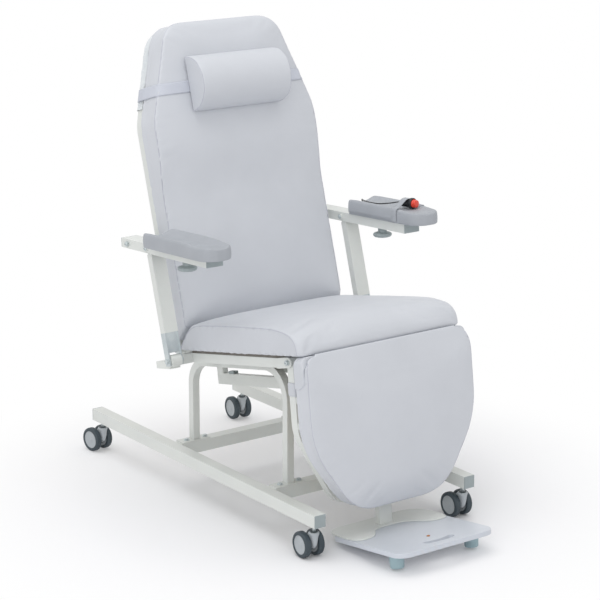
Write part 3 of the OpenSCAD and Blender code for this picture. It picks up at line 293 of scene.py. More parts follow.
class Effects:
    """The shader node groups that several finishes share, each built once."""

    def __init__(self) -> None:
        """Builds every group."""
        self.mottle = self._mottle()
        self.reliefs = {Relief.HIDE: self._hide(), Relief.PEEL: self._noise("SprayPeel", 2.0, 1.0),
                        Relief.WEAVE: self._weave(), Relief.BRUSHED: self._noise("Brushed", 3.0, 26.0),
                        Relief.CRINKLE: self._noise("Crinkle", 6.0, 1.0)}

    @staticmethod
    def _group(name: str, inputs: dict[str, float | Colour],
               outputs: dict[str, str]) -> bpy.types.ShaderNodeTree:
        """Makes an empty group with its sockets.

        Args:
            name: The group's name.
            inputs: Each input's name and default value.
            outputs: Each output's name and socket type.

        Returns:
            The node tree, with its input and output nodes.
        """
        tree = bpy.data.node_groups.new(name, "ShaderNodeTree")
        for label, value in inputs.items():
            kind = "NodeSocketColor" if isinstance(value, tuple) else "NodeSocketFloat"
            socket = tree.interface.new_socket(name=label, in_out="INPUT", socket_type=kind)
            socket.default_value = value
        for label, kind in outputs.items():
            tree.interface.new_socket(name=label, in_out="OUTPUT", socket_type=kind)
        tree.nodes.new("NodeGroupInput").name = "in"
        tree.nodes.new("NodeGroupOutput").name = "out"
        return tree

    @staticmethod
    def _scaled(tree: bpy.types.ShaderNodeTree, stretch: float = 1.0) -> bpy.types.NodeSocket:
        """Object coordinates times the group's Scale.

        Args:
            tree: The group.
            stretch: How many times the coordinates are squeezed along X.

        Returns:
            The socket that gives them.
        """
        place = add_node(tree, "ShaderNodeTexCoord")
        times = add_node(tree, "ShaderNodeVectorMath")
        times.operation = "SCALE"
        tree.links.new(place.outputs["Object"], times.inputs[0])
        tree.links.new(tree.nodes["in"].outputs["Scale"], times.inputs["Scale"])
        if stretch == 1.0:
            return times.outputs[0]
        squeeze = add_node(tree, "ShaderNodeVectorMath", {1: (1 / stretch, 1, 1)})
        squeeze.operation = "MULTIPLY"
        tree.links.new(times.outputs[0], squeeze.inputs[0])
        return squeeze.outputs[0]

    def _mottle(self) -> bpy.types.ShaderNodeTree:
        """A drift between two tones, for colour, with a mask for the gloss.

        Returns:
            The group.
        """
        tree = self._group("ToneDrift", {"Tone": (0.5, 0.5, 0.5, 1.0), "Shade": (0.4, 0.4, 0.4, 1.0),
                                         "Scale": 8.0, "Gloss low": 0.4, "Gloss high": 0.5},
                           {"Colour": "NodeSocketColor", "Gloss": "NodeSocketFloat"})
        links, given, results = tree.links, tree.nodes["in"].outputs, tree.nodes["out"].inputs
        cloud = add_node(tree, "ShaderNodeTexNoise", {"Scale": 1.0, "Detail": 5.0, "Roughness": 0.6})
        links.new(self._scaled(tree), cloud.inputs["Vector"])
        spread = add_node(tree, "ShaderNodeMapRange", {"From Min": 0.35, "From Max": 0.68})
        links.new(cloud.outputs["Fac"], spread.inputs["Value"])
        mix = add_node(tree, "ShaderNodeMix")
        mix.data_type = "RGBA"
        links.new(spread.outputs[0], mix.inputs["Factor"])
        links.new(given["Tone"], mix.inputs[6])
        links.new(given["Shade"], mix.inputs[7])
        links.new(mix.outputs[2], results["Colour"])
        gloss = add_node(tree, "ShaderNodeMapRange", {"From Min": 0.3, "From Max": 0.7})
        links.new(cloud.outputs["Fac"], gloss.inputs["Value"])
        links.new(given["Gloss low"], gloss.inputs["To Min"])
        links.new(given["Gloss high"], gloss.inputs["To Max"])
        links.new(gloss.outputs[0], results["Gloss"])
        return tree

    def _hide(self) -> bpy.types.ShaderNodeTree:
        """The pebbled grain of upholstery vinyl.

        Returns:
            The group.
        """
        tree = self._group("HideGrain", {"Scale": 900.0}, {"Height": "NodeSocketFloat"})
        where = self._scaled(tree)
        cells = add_node(tree, "ShaderNodeTexVoronoi", {"Scale": 1.0})
        cells.feature = "SMOOTH_F1"
        cells.inputs["Smoothness"].default_value = 0.6
        tree.links.new(where, cells.inputs["Vector"])
        drift = add_node(tree, "ShaderNodeTexNoise", {"Scale": 0.12, "Detail": 3.0})
        tree.links.new(where, drift.inputs["Vector"])
        total = add_node(tree, "ShaderNodeMath", {1: 1.4})
        total.operation = "MULTIPLY_ADD"
        tree.links.new(drift.outputs["Fac"], total.inputs[0])
        tree.links.new(cells.outputs["Distance"], total.inputs[2])
        tree.links.new(total.outputs[0], tree.nodes["out"].inputs["Height"])
        return tree

    def _noise(self, name: str, detail: float, stretch: float) -> bpy.types.ShaderNodeTree:
        """A noise relief.

        Args:
            name: The group's name.
            detail: How much fine detail the noise has.
            stretch: How many times longer it is along X than across.

        Returns:
            The group.
        """
        tree = self._group(name, {"Scale": 700.0}, {"Height": "NodeSocketFloat"})
        cloud = add_node(tree, "ShaderNodeTexNoise", {"Scale": 1.0, "Detail": detail})
        tree.links.new(self._scaled(tree, stretch), cloud.inputs["Vector"])
        tree.links.new(cloud.outputs["Fac"], tree.nodes["out"].inputs["Height"])
        return tree

    def _weave(self) -> bpy.types.ShaderNodeTree:
        """The over and under of a plain weave.

        Returns:
            The group.
        """
        tree = self._group("PlainWeave", {"Scale": 900.0}, {"Height": "NodeSocketFloat"})
        where = self._scaled(tree)
        product = add_node(tree, "ShaderNodeMath")
        product.operation = "MULTIPLY"
        for k, way in enumerate(("DIAGONAL", "Z")):
            wave = add_node(tree, "ShaderNodeTexWave", {"Scale": 0.35, "Distortion": 0.4})
            wave.bands_direction = way
            tree.links.new(where, wave.inputs["Vector"])
            tree.links.new(wave.outputs["Fac"], product.inputs[k])
        tree.links.new(product.outputs[0], tree.nodes["out"].inputs["Height"])
        return tree


@dataclass(frozen=True)
class Finish:
    """One surface finish of the chair, with the record's slot that it belongs to."""

    name: str
    slot: str
    tone: tuple[int, int, int]
    shade: tuple[int, int, int]
    relief: Relief
    scale: float
    depth: float
    gloss: tuple[float, float] = (0.4, 0.5)
    drift: float = 8.0
    metal: float = 0.0
    sheen: float = 0.0
    coat: float = 0.0

    def make(self, effects: Effects) -> bpy.types.Material:
        """Builds the material.

        Args:
            effects: The shared node groups.

        Returns:
            The material.
        """
        material = bpy.data.materials.new(self.name)
        material.use_nodes = True
        material.diffuse_color = paint(*self.tone)
        tree = material.node_tree
        shader = tree.nodes["Principled BSDF"]
        drift = add_node(tree, "ShaderNodeGroup")
        drift.node_tree = effects.mottle
        low, high = self.gloss
        for label, value in (("Tone", paint(*self.tone)), ("Shade", paint(*self.shade)),
                             ("Scale", self.drift), ("Gloss low", low), ("Gloss high", high)):
            drift.inputs[label].default_value = value
        tree.links.new(drift.outputs["Colour"], shader.inputs["Base Color"])
        tree.links.new(drift.outputs["Gloss"], shader.inputs["Roughness"])
        relief = add_node(tree, "ShaderNodeGroup")
        relief.node_tree = effects.reliefs[self.relief]
        relief.inputs["Scale"].default_value = self.scale
        bump = add_node(tree, "ShaderNodeBump", {"Strength": 1.0, "Distance": self.depth * MM})
        tree.links.new(relief.outputs["Height"], bump.inputs["Height"])
        tree.links.new(bump.outputs["Normal"], shader.inputs["Normal"])
        shader.inputs["Metallic"].default_value = self.metal
        shader.inputs["Sheen Weight"].default_value = self.sheen
        shader.inputs["Coat Weight"].default_value = self.coat
        return material


VINYL = Finish("upholstery_vinyl", "vinyl", (206, 209, 215), (202, 205, 211), Relief.HIDE, 900, 0.035,
               (0.44, 0.54), 5)
# The welt is darker than the vinyl that it is cut from: painted shade that stands in for the groove along
# each seam.
SHADED_SEAM = Finish("seam_welt_painted_shade", "vinyl", (192, 194, 204), (186, 188, 198), Relief.HIDE, 900, 0.02, (0.5, 0.6), 5)
FRAME = Finish("powder_coat", "frame_paint", (222, 225, 221), (217, 220, 217), Relief.PEEL, 650, 0.02,
               (0.32, 0.42), 6)
WING = Finish("bracket_coat", "frame_paint", (222, 225, 222), (217, 220, 218), Relief.PEEL, 650, 0.02,
              (0.34, 0.44), 6)
WELD = Finish("painted_weld", "frame_paint", (214, 217, 213), (206, 209, 206), Relief.PEEL, 300, 0.2,
              (0.36, 0.48), 60)
CAP = Finish("cap_plastic", "cap_plastic", (158, 168, 170), (152, 162, 164), Relief.PEEL, 900, 0.03,
             (0.45, 0.55), 12)
PAD = Finish("pad_foam", "pad_foam", (170, 174, 180), (164, 168, 174), Relief.HIDE, 1500, 0.02, (0.5, 0.6), 9)
ZINC = Finish("zinc_plate", "zinc", (206, 213, 214), (190, 199, 202), Relief.BRUSHED, 1400, 0.006,
              (0.3, 0.42), 25, 0.7)
BLACK = Finish("black_plastic", "black_plastic", (36, 38, 42), (30, 32, 35), Relief.PEEL, 900, 0.03,
               (0.32, 0.45), 12)
RED = Finish("red_button", "red_plastic", (238, 70, 46), (228, 62, 40), Relief.PEEL, 600, 0.01,
             (0.24, 0.32), 20, coat=0.3)
TYRE = Finish("tyre_rubber", "tyre", (62, 73, 80), (54, 65, 72), Relief.PEEL, 900, 0.04, (0.45, 0.58), 20)
CASTER = Finish("caster_plastic", "caster_plastic", (178, 184, 188), (172, 178, 182), Relief.PEEL, 900, 0.03,
                (0.34, 0.44), 20)
WEB = Finish("caster_web", "caster_plastic", (60, 70, 74), (52, 62, 66), Relief.PEEL, 900, 0.03,
             (0.4, 0.5), 20)
BOARD = Finish("footboard_plastic", "board_plastic", (207, 212, 220), (202, 207, 215), Relief.PEEL, 500,
               0.015, (0.26, 0.34), 6)
FOOT = Finish("foot_rubber", "cap_plastic", (158, 182, 188), (150, 174, 180), Relief.PEEL, 900, 0.03,
              (0.5, 0.6), 12)
COVER = Finish("cover_cloth", "cover_cloth", (226, 230, 232), (212, 218, 222), Relief.CRINKLE, 60, 2.4,
               (0.35, 0.5), 30)
STRAP = Finish("elastic_strap", "strap_elastic", (203, 207, 217), (197, 201, 211), Relief.WEAVE, 1100, 0.08,
               (0.6, 0.7), 10)
SLEEVE = Finish("elastic_sleeve", "sleeve_cloth", (172, 176, 182), (166, 170, 176), Relief.WEAVE, 1100, 0.1,
                (0.65, 0.75), 10, sheen=0.15)
PLY = Finish("plywood", "plywood", (190, 170, 138), (170, 150, 118), Relief.BRUSHED, 300, 0.1, (0.6, 0.7), 40)
# Dark grey painted shade: the seat board's colour stands in for the shadow gap between the seat cushion and
# the rails.
BOARD_SHADE_LINE = Finish("board_painted_shade", "plywood", (120, 116, 108), (108, 104, 98), Relief.BRUSHED, 300, 0.1,
                    (0.6, 0.7), 40)
BRASS = Finish("board_screw", "zinc", (176, 120, 74), (160, 104, 62), Relief.BRUSHED, 1400, 0.006,
               (0.3, 0.4), 25, 1.0)
FINISHES = (VINYL, SHADED_SEAM, FRAME, WING, WELD, CAP, PAD, ZINC, BLACK, RED, TYRE, CASTER, WEB, BOARD, FOOT, COVER,
            STRAP, SLEEVE, PLY, BOARD_SHADE_LINE, BRASS)


# Meshes


def make_piece(name: str, points: np.ndarray, faces: Sequence[Sequence[int]],
               sharp: float = 40.0) -> bpy.types.Object:
    """Makes a mesh object.

    Args:
        name: The piece's name.
        points: Its points in metres.
        faces: Its faces.
        sharp: Edges sharper than this many degrees stay crisp.

    Returns:
        The object, linked to the scene, with its faces turned outward.
    """
    mesh = bpy.data.meshes.new(name)
    mesh.from_pydata([tuple(p) for p in points], [], [tuple(f) for f in faces])
    work = bmesh.new()
    work.from_mesh(mesh)
    bmesh.ops.remove_doubles(work, verts=work.verts, dist=1e-7)
    bmesh.ops.recalc_face_normals(work, faces=work.faces)
    work.to_mesh(mesh)
    work.free()
    mesh.shade_smooth()
    mesh.set_sharp_from_angle(angle=math.radians(sharp))
    piece = bpy.data.objects.new(name, mesh)
    bpy.context.scene.collection.objects.link(piece)
    return piece


def ring_faces(rings: int, count: int, closed: bool = True, capped: bool = True) -> list[list[int]]:
    """Faces that join rings of points.

    Args:
        rings: How many rings there are.
        count: Points in each ring.
        closed: Whether the last point of a ring joins its first.
        capped: Whether the first and last ring are filled.

    Returns:
        The faces.
    """
    span = count if closed else count - 1
    faces = []
    for low in range(0, (rings - 1) * count, count):
        high = low + count
        for k in range(span):
            after = (k + 1) % count
            faces.append([low + k, low + after, high + after, high + k])
    if capped:
        faces += [list(range(count))[::-1], [(rings - 1) * count + k for k in range(count)]]
    return faces


def lathe(name: str, profile: Sequence[Sequence[float]], at: Matrix, sides: int = 48) -> bpy.types.Object:
    """A turned piece.

    Args:
        name: The piece's name.
        profile: Points of (radius, height) in mm along the axis.
        at: Where the piece's own frame stands, in metres; its Z is the axis.
        sides: Sides of the turning.

    Returns:
        The piece.
    """
    turns = [FULL_TURN * k / sides for k in range(sides)]
    points = [at @ Vector((r * math.cos(a) * MM, r * math.sin(a) * MM, h * MM))
              for r, h in profile for a in turns]
    return make_piece(name, np.array(points), ring_faces(len(profile), sides), 32)


def tube(name: str, path: np.ndarray, radius: float, sides: int = 10) -> bpy.types.Object:
    """A round solid swept along an open path.

    Args:
        name: The piece's name.
        path: The points of the path in metres.
        radius: The tube's radius in metres.
        sides: Sides of the tube.

    Returns:
        The piece.
    """
    turns = [FULL_TURN * k / sides for k in range(sides)]
    section = np.array([(radius * math.cos(a), radius * math.sin(a)) for a in turns])
    ways = unit(np.gradient(path, axis=0))
    lift = np.eye(3)[np.argmin(np.abs(ways[0]))]
    rings = []
    for way, point in zip(ways, path):
        across = unit(np.cross(way, lift))
        lift = np.cross(across, way)
        rings.append(point + section[:, :1] * across + section[:, 1:] * lift)
    return make_piece(name, np.concatenate(rings), ring_faces(len(rings), sides), 45)


def loop(name: str, path: np.ndarray, radius: float, sides: int = 8) -> bpy.types.Object:
    """A round bead along a closed path.

    Args:
        name: The piece's name.
        path: The points of the closed path in metres.
        radius: The bead's radius in metres.
        sides: Sides of the bead.

    Returns:
        The piece.
    """
    count = len(path)
    middle = path.mean(0)
    turns = [FULL_TURN * k / sides for k in range(sides)]
    rings, faces = [], []
    for i in range(count):
        way = unit(path[(i + 1) % count] - path[i - 1])
        out = path[i] - middle
        out = unit(out - way * (out @ way))
        over = np.cross(way, out)
        rings += [path[i] + radius * (out * math.cos(a) + over * math.sin(a)) for a in turns]
        low, high = i * sides, (i + 1) % count * sides
        for k in range(sides):
            after = (k + 1) % sides
            faces.append([low + k, low + after, high + after, high + k])
    return make_piece(name, np.array(rings), faces, 60)


def soften_edges(piece: bpy.types.Object, width: float, segments: int = 2,
                 angle: float = 28.0) -> bpy.types.Object:
    """Rounds a piece's crisp edges.

    Args:
        piece: The piece.
        width: The width of the rounding in mm.
        segments: Steps of the rounding.
        angle: Edges sharper than this many degrees are rounded.

    Returns:
        The piece.
    """
    work = bmesh.new()
    work.from_mesh(piece.data)
    bmesh.ops.remove_doubles(work, verts=work.verts, dist=2e-6)
    bmesh.ops.dissolve_limit(work, angle_limit=math.radians(0.6), verts=work.verts, edges=work.edges)
    work.to_mesh(piece.data)
    work.free()
    bevel = piece.modifiers.new("rounding", "BEVEL")
    bevel.width = width * MM
    bevel.segments = segments
    bevel.limit_method = "ANGLE"
    bevel.angle_limit = math.radians(angle)
    bevel.use_clamp_overlap = True
    bevel.harden_normals = True
    piece.data.shade_smooth()
    piece.data.set_sharp_from_angle(angle=math.radians(60))
    return piece


class Dresser:
    """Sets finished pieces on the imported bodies."""

    def __init__(self, frame: dict) -> None:
        """Keeps the frame and makes every material.
        """
        self.nodes: dict[str, bpy.types.Object] = frame["nodes"]
        groups = frame["record"]["behaviour"]["bodies"]
        self.body_of = {node: body for body, members in groups.items() for node in members}
        effects = Effects()
        self.materials = {finish.name: finish.make(effects) for finish in FINISHES}

    def put(self, piece: bpy.types.Object, body: str, finish: Finish, *nodes: str) -> bpy.types.Object:
        """Gives a piece its finish and sets it on a body.

        Args:
            piece: The piece, in place.
            body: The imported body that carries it.
            finish: Its finish.
            nodes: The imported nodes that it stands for.

        Returns:
            The piece.
        """
        piece.data.materials.clear()
        piece.data.materials.append(self.materials[finish.name])
        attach(piece, body)
        if nodes:
            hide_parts(*nodes)
        LOG.info("%s rides on %s, in %s", piece.name, body, finish.name)
        return piece

    def finished(self, node: str, finish: Finish, width: float = 1.5, segments: int = 2) -> bpy.types.Object:
        """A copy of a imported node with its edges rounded, which stands for it.

        Args:
            node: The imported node.
            finish: Its finish.
            width: The width of the rounding in mm.
            segments: Steps of the rounding.

        Returns:
            The copy.
        """
        piece = bpy.data.objects.new(node + "_made", self.nodes[node].data.copy())
        bpy.context.scene.collection.objects.link(piece)
        soften_edges(piece, width, segments)
        return self.put(piece, self.body_of[node], finish, node)


def bore_head(name: str, at: Matrix, radius: float, height: float) -> bpy.types.Object:
    """A round screw head with a sunk socket, on a thin washer.

    Args:
        name: The piece's name.
        at: Where the head's underside stands; its Z points out.
        radius: The head's radius in mm.
        height: The head's height in mm.

    Returns:
        The piece.
    """
    r, h = radius, height
    profile = [(0, 0), (r * 1.25, 0), (r * 1.25, 0.9), (r, 1.0), (r, h * 0.45), (r * 0.86, h * 0.8),
               (r * 0.62, h), (r * 0.46, h), (r * 0.42, h * 0.92), (r * 0.4, h * 0.35), (0, h * 0.3)]
    return lathe(name, profile, at, 32)


def facing(origin: Sequence[float], way: Sequence[float], axis: str = "Z") -> Matrix:
    """A frame at origin, in metres, whose axis points along way."""
    turn = Vector(way).to_track_quat(axis, "Y").to_matrix().to_4x4()
    return Matrix.Translation(Vector(origin)) @ turn


# Padded pieces


@dataclass
class Padding:
    """One padded piece on its way through the cloth simulation."""

    piece: bpy.types.Object
    rest: np.ndarray
    cap: float


@dataclass
class Upholstery:
    """Swells every cushion with one run of the cloth simulation."""

    frames: int = 16
    # Points that are measured against the seams at a time
    batch: int = 4000
    waiting: list[Padding] = field(default_factory=list)

    def prepare(self, name: str, rings: np.ndarray, voxel: float, cap: float, pressure: float,
                seams: Sequence[np.ndarray], held: Callable[[np.ndarray], np.ndarray]) -> bpy.types.Object:
        """Meshes a cushion evenly and readies it to swell.

        Args:
            name: The cushion's name.
            rings: Its rings of points in metres, first to last.
            voxel: The edge of the even mesh in mm.
            cap: How far a point may move in mm.
            pressure: The pressure inside.
            seams: Lines in metres that stay where they are.
            held: Tells which points rest on the board.

        Returns:
            The cushion, not yet swollen.
        """
        count = rings.shape[1]
        piece = make_piece(name, rings.reshape(-1, 3), ring_faces(len(rings), count), 180)
        remesh = piece.modifiers.new("even", "REMESH")
        remesh.mode = "VOXEL"
        remesh.voxel_size = voxel * MM
        remesh.use_smooth_shade = True
        graph = bpy.context.evaluated_depsgraph_get()
        even = bpy.data.meshes.new_from_object(piece.evaluated_get(graph))
        piece.modifiers.clear()
        piece.data = even
        rest = np.array([v.co for v in even.vertices])
        line = np.concatenate(list(seams))
        weight = held(rest).astype(float)
        for start in range(0, len(rest), self.batch):
            part = slice(start, start + self.batch)
            near = np.sqrt(((rest[part, None] - line[None]) ** 2).sum(2)).min(1)
            weight[part] = np.maximum(weight[part], np.clip(1.6 - near / (voxel * MM), 0, 1))
        group = piece.vertex_groups.new(name="held")
        for level in np.unique(np.round(weight, 1)):
            if level > 0:
                group.add(np.nonzero(np.round(weight, 1) == level)[0].tolist(), float(level), "REPLACE")
        cloth = piece.modifiers.new("swell", "CLOTH")
        cloth.settings.use_pressure = True
        cloth.settings.uniform_pressure_force = pressure
        cloth.settings.vertex_group_mass = "held"
        cloth.settings.quality = 4
        cloth.settings.mass = 0.4
        cloth.settings.tension_stiffness = cloth.settings.compression_stiffness = 12
        cloth.settings.shear_stiffness = 6
        cloth.settings.bending_stiffness = 3
        cloth.settings.effector_weights.gravity = 0
        cloth.collision_settings.use_collision = False
        cloth.point_cache.frame_start = 1
        cloth.point_cache.frame_end = self.frames
        self.waiting.append(Padding(piece, rest, cap * MM))
        return piece

    def swell(self) -> None:
        """Runs the simulation, caps how far each point moved and leaves plain meshes."""
        scene = bpy.context.scene
        for frame in range(1, self.frames + 1):
            scene.frame_set(frame)
        graph = bpy.context.evaluated_depsgraph_get()
        for padding in self.waiting:
            made = padding.piece.evaluated_get(graph).data
            now = np.array([v.co for v in made.vertices])
            padding.piece.modifiers.clear()
            move = now - padding.rest
            length = np.linalg.norm(move, axis=1) + 1e-12
            move *= (padding.cap * np.tanh(length / padding.cap) / length)[:, None]
            furthest = 1000 * float(np.linalg.norm(move, axis=1).max())
            LOG.info("%s swelled by up to %.1f mm", padding.piece.name, furthest)
            padding.piece.data.vertices.foreach_set("co", (padding.rest + move).ravel())
            padding.piece.data.shade_smooth()
            padding.piece.vertex_groups.clear()
            finer = padding.piece.modifiers.new("finer", "SUBSURF")
            finer.levels = finer.render_levels = 1
        scene.frame_set(1)


def surface(piece: bpy.types.Object) -> BVHTree:
    """A search tree over a piece's faces."""
    mesh = piece.data
    return BVHTree.FromPolygons([v.co for v in mesh.vertices], [p.vertices for p in mesh.polygons])


def snapped(path: np.ndarray, piece: bpy.types.Object, lift: float) -> np.ndarray:
    """Lays a line on a piece's surface.

    Args:
        path: The line in metres.
        piece: The piece.
        lift: How far the line stands off the surface in mm.

    Returns:
        The line on the surface.
    """
    tree = surface(piece)
    out = []
    for point in path:
        place, normal, _, _ = tree.find_nearest(Vector(point))
        out.append(np.array(place + normal * lift * MM))
    for _ in range(3):
        eased = [(out[i - 1] + 2 * out[i] + out[i + 1]) / 4 for i in range(1, len(out) - 1)]
        out = [out[0], *eased, out[-1]]
    return np.array(out)


@dataclass
class PanelCushion:
    """A cushion drawn over an outline: boxing round its sides and a crowned panel in front."""

    name: str
    place: Place
    body: str
    node: str
    outline: np.ndarray
    spine: tuple[tuple[float, float], tuple[float, float]]
    rear: Callable[[float, float], float]
    thick: Callable[[float, float], float]
    crown: Callable[[float, float], float]
    lean: Callable[[float, float], float]
    draw_in: float = 5.0
    voxel: float = 8.0
    # Each ring: inset in mm, share toward the spine, share of the thickness, share of the crown
    rings: Sequence[tuple[float, float, float, float]] = (
        (6, 0.9, 0, 0), (4, 0.6, 0, 0), (4, 0.3, 0, 0), (4, 0.08, 0, 0), (3, 0, 0, 0), (0.5, 0, 0.05, 0),
        (0, 0, 0.12, 0), (3.5, 0, 0.25, 0), (5, 0, 0.45, 0), (5, 0, 0.6, 0), (3.5, 0, 0.78, 0),
        (1.2, 0, 0.9, 0), (0, 0, 0.96, 0), (3, 0, 0.99, 0.06), (9, 0, 1, 0.2), (18, 0, 1, 0.36),
        (34, 0, 1, 0.55), (34, 0.16, 1, 0.74), (34, 0.34, 1, 0.88), (34, 0.55, 1, 0.96), (34, 0.78, 1, 1),
        (34, 1, 1, 1))

    def _inward(self) -> np.ndarray:
        """Finds the way into the outline at each of its points.

        Returns:
            The unit directions.
        """
        ahead = np.roll(self.outline, -1, 0) - np.roll(self.outline, 1, 0)
        inward = unit(np.column_stack([-ahead[:, 1], ahead[:, 0]]))
        middle = self.outline.mean(0)
        if ((middle - self.outline) * inward).sum() < 0:
            inward = -inward
        return inward

    def ring(self, inset: float, share: float, level: float, crown: float) -> np.ndarray:
        """One ring of the cushion.

        Args:
            inset: How far inside the outline it runs, in mm.
            share: How far it has closed toward the spine, from 0 to 1.
            level: Its share of the thickness.
            crown: Its share of the crown.

        Returns:
            Its points in the cushion's own frame, in mm.
        """
        flat = self.outline + self._inward() * inset
        low, high = np.array(self.spine[0], float), np.array(self.spine[1], float)
        run = high - low
        along = np.clip(((flat - low) @ run) / (run @ run), 0, 1)
        flat = flat + (low + along[:, None] * run - flat) * share
        out = []
        for x, z in flat:
            y = self.rear(x, z) + (self.thick(x, z) - self.rear(x, z)) * level + self.crown(x, z) * crown
            out.append((x, -y, z + self.lean(x, z) * level))
        return np.array(out)

    def prepare(self, upholstery: Upholstery, cap: float, pressure: float) -> bpy.types.Object:
        """Meshes the cushion and readies it to swell.

        Args:
            upholstery: Where it will swell.
            cap: How far a point may move in mm.
            pressure: The pressure inside.

        Returns:
            The cushion.
        """
        rings = np.array([self.place.world(self.ring(*ring)) for ring in self.rings])
        seams = [self.place.world(self.ring(0, 0, 0.96, 0)), self.place.world(self.ring(0, 0, 0.12, 0))]
        down = self.place.way(0, 1, 0)
        base = self.place.world([[0, -self.rear(0, float(self.outline[:, 1].min())), 0]])[0]
        return upholstery.prepare(self.name, rings, self.voxel, cap, pressure, seams,
                                  lambda p: ((p - base) @ down) > -self.draw_in * MM)


@dataclass
class Cushions:
    """Every cushion with its seams, the bolster with its strap, and the head's cover."""

    dresser: Dresser
    upholstery: Upholstery = field(default_factory=Upholstery)
    # The back: its outline, and how far its rear and its front stand before the hinge
    back_half: float = 313
    head_half: float = 212
    back_top: float = 1031
    back_low: float = 20
    shoulder: float = 722
    back_rear: float = 26
    back_full: float = 93
    # The calf cushion, which is widened a little and stands to the sitter's left
    calf_half: float = 310
    calf_top: float = 35
    calf_low: float = -472
    calf_wide: float = 1.018
    calf_shift: float = 2.5
    calf_rear: float = 61
    calf_full: float = 70
    # The gusset over the top of its boxing
    gusset_rear: float = 61.2
    gusset_front: float = 109
    gusset_corner: float = 24.0
    # The seat
    seat_half: float = 312
    seat_rear: float = 33
    seat_front: float = 702
    seat_corner: float = 24
    seat_tall: float = 86
    seat_crown: float = 11
    # The bolster: half of its width, its height and depth, and the place of its middle
    bolster_half: float = 172
    bolster_tall: float = 176
    bolster_deep: float = 92
    bolster_up: float = 828
    bolster_shift: float = -4
    bolster_rear: float = 136.2
    # The cover of the head reaches down to this height; the strap runs at these heights
    cover_low: float = 772
    strap_levels: tuple[float, ...] = (803, 808, 822, 836, 841)
    strap_steps: int = 240

    def back_outline(self, inset: float, step: float) -> np.ndarray:
        """The back's outline.

        Args:
            inset: How far inside the cushion's edge it runs, in mm.
            step: The distance between its points in mm.

        Returns:
            Its points across and up the back.
        """
        half, head = self.back_half - inset, self.head_half - inset
        low, top = self.back_low + inset, self.back_top - inset
        corners = [(-half, low), (half, low), (half, self.shoulder), (head, top), (-head, top),
                   (-half, self.shoulder)]
        return divided(rounded(corners, [14, 14, 150, 80, 80, 150]), step)

    def back(self) -> PanelCushion:
        """The back cushion, thicker at the head, with a raised lower front edge.

        Returns:
            The cushion's form.
        """
        def thick(_x: float, z: float) -> float:
            """How far the front stands forward.

            Args:
                _x: The place across, which changes nothing.
                z: The height.

            Returns:
                The distance before the hinge in mm.
            """
            full = self.back_full * (0.78 + 0.22 * smooth((z - 470) / 180))
            edge = 0.8 + 0.2 * nose(self.back_top - z, 50, 2) * nose(z - self.back_low, 50, 2)
            return self.back_rear + full * edge

        return PanelCushion("back_upholstery", BACK, "backrest", "back_cushion", self.back_outline(0.5, 12),
                            ((0, 230), (0, 850)), lambda _x, _z: self.back_rear, thick, lambda _x, _z: 9,
                            lambda _x, z: 50 * (1 - smooth((z - self.back_low) / 200)))

    def calf(self) -> PanelCushion:
        """The calf cushion, with a lip that rises in front of the seat's nose.

        Returns:
            The cushion's form.
        """
        half, top, low = self.calf_half, self.calf_top, self.calf_low
        corners = [(-half, top), (-half, -250), (-165, low), (165, low), (half, -250), (half, top)]
        outline = divided(rounded(corners, [56, 290, 160, 160, 290, 56]), 9)
        outline[:, 0] = outline[:, 0] * self.calf_wide + self.calf_shift

        def rear(_x: float, z: float) -> float:
            """How far the rear stands forward at height z, clear of the seat's nose."""
            clear = math.sqrt(max(self.calf_rear ** 2, 112 ** 2 - z * z)) - self.calf_rear
            return self.calf_rear + clear * smooth((z + 62) / 20)

        def thick(_x: float, z: float) -> float:
            """How far the front stands forward at height z."""
            full = self.calf_full * (0.7 + 0.3 * nose(z - low, 60, 2))
            return self.calf_rear + full - 20 * max(0.0, min(1.0, (z + 68) / 103)) ** 2.2

        return PanelCushion("calf_upholstery", CALF, "calf_rest", "calf_cushion", outline,
                            ((-120, -180), (120, -180)), rear, thick,
                            lambda _x, z: 8 * (1 - smooth((z + 60) / 60)), lambda _x, _z: 0, voxel=5.5)

    def gusset(self) -> bpy.types.Object:
        """The soft top of the calf cushion's boxing.

        Returns:
            The gusset.
        """
        rear, front, corner = self.gusset_rear, self.gusset_front, self.gusset_corner
        side = rounded([(rear, -70), (rear, 25.5), (101, 28), (front, 4), (front, -52), (82, -70)],
                       [3, 9, 3, 8, 12, 6])
        middle = np.array([85.0, -20.0])
        half = self.calf_half * self.calf_wide
        stations = [(0.0, 4.0), (0.5, 1.6), (2.0, 0.4), (5.0, 0.0), (10.0, 0.0), (16.0, 0.0), (24.0, 0.0)]
        stations = stations + [(2 * half - x, inset) for x, inset in reversed(stations)]
        rings = []
        for x, inset in stations:
            ahead = np.array(side) - middle
            drawn = middle + ahead * (1 - inset / np.linalg.norm(ahead, axis=1)[:, None])
            end = max(0.0, corner - min(x, 2 * half - x))
            drop = corner - math.sqrt(corner * corner - end * end)
            across = self.calf_shift - half + x
            rings.append([(across, -a, z - drop * smooth((z + 45) / 65)) for a, z in drawn])
        points = CALF.world(np.array(rings).reshape(-1, 3))
        piece = make_piece("calf_gusset", points, ring_faces(len(rings), len(side)), 60)
        self.dresser.put(piece, "calf_rest", VINYL)
        tuple(CALF.way(0, -1, 0))
        tuple(CALF.world([[0, -front, -20]])[0])
        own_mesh(piece)
        return piece

    def seat_reach(self, x: float) -> float:
        """How far forward the seat's nose reaches.

        Args:
            x: The distance from the middle in mm.

        Returns:
            The reach in mm.
        """
        out = max(0.0, (abs(x) - 210) / (self.seat_half - 210))
        corner = self.seat_corner
        plan = max(0.0, abs(x) - (self.seat_half - corner))
        return self.seat_front - 6 * out ** 3 - (corner - math.sqrt(max(0.0, corner * corner - plan * plan)))

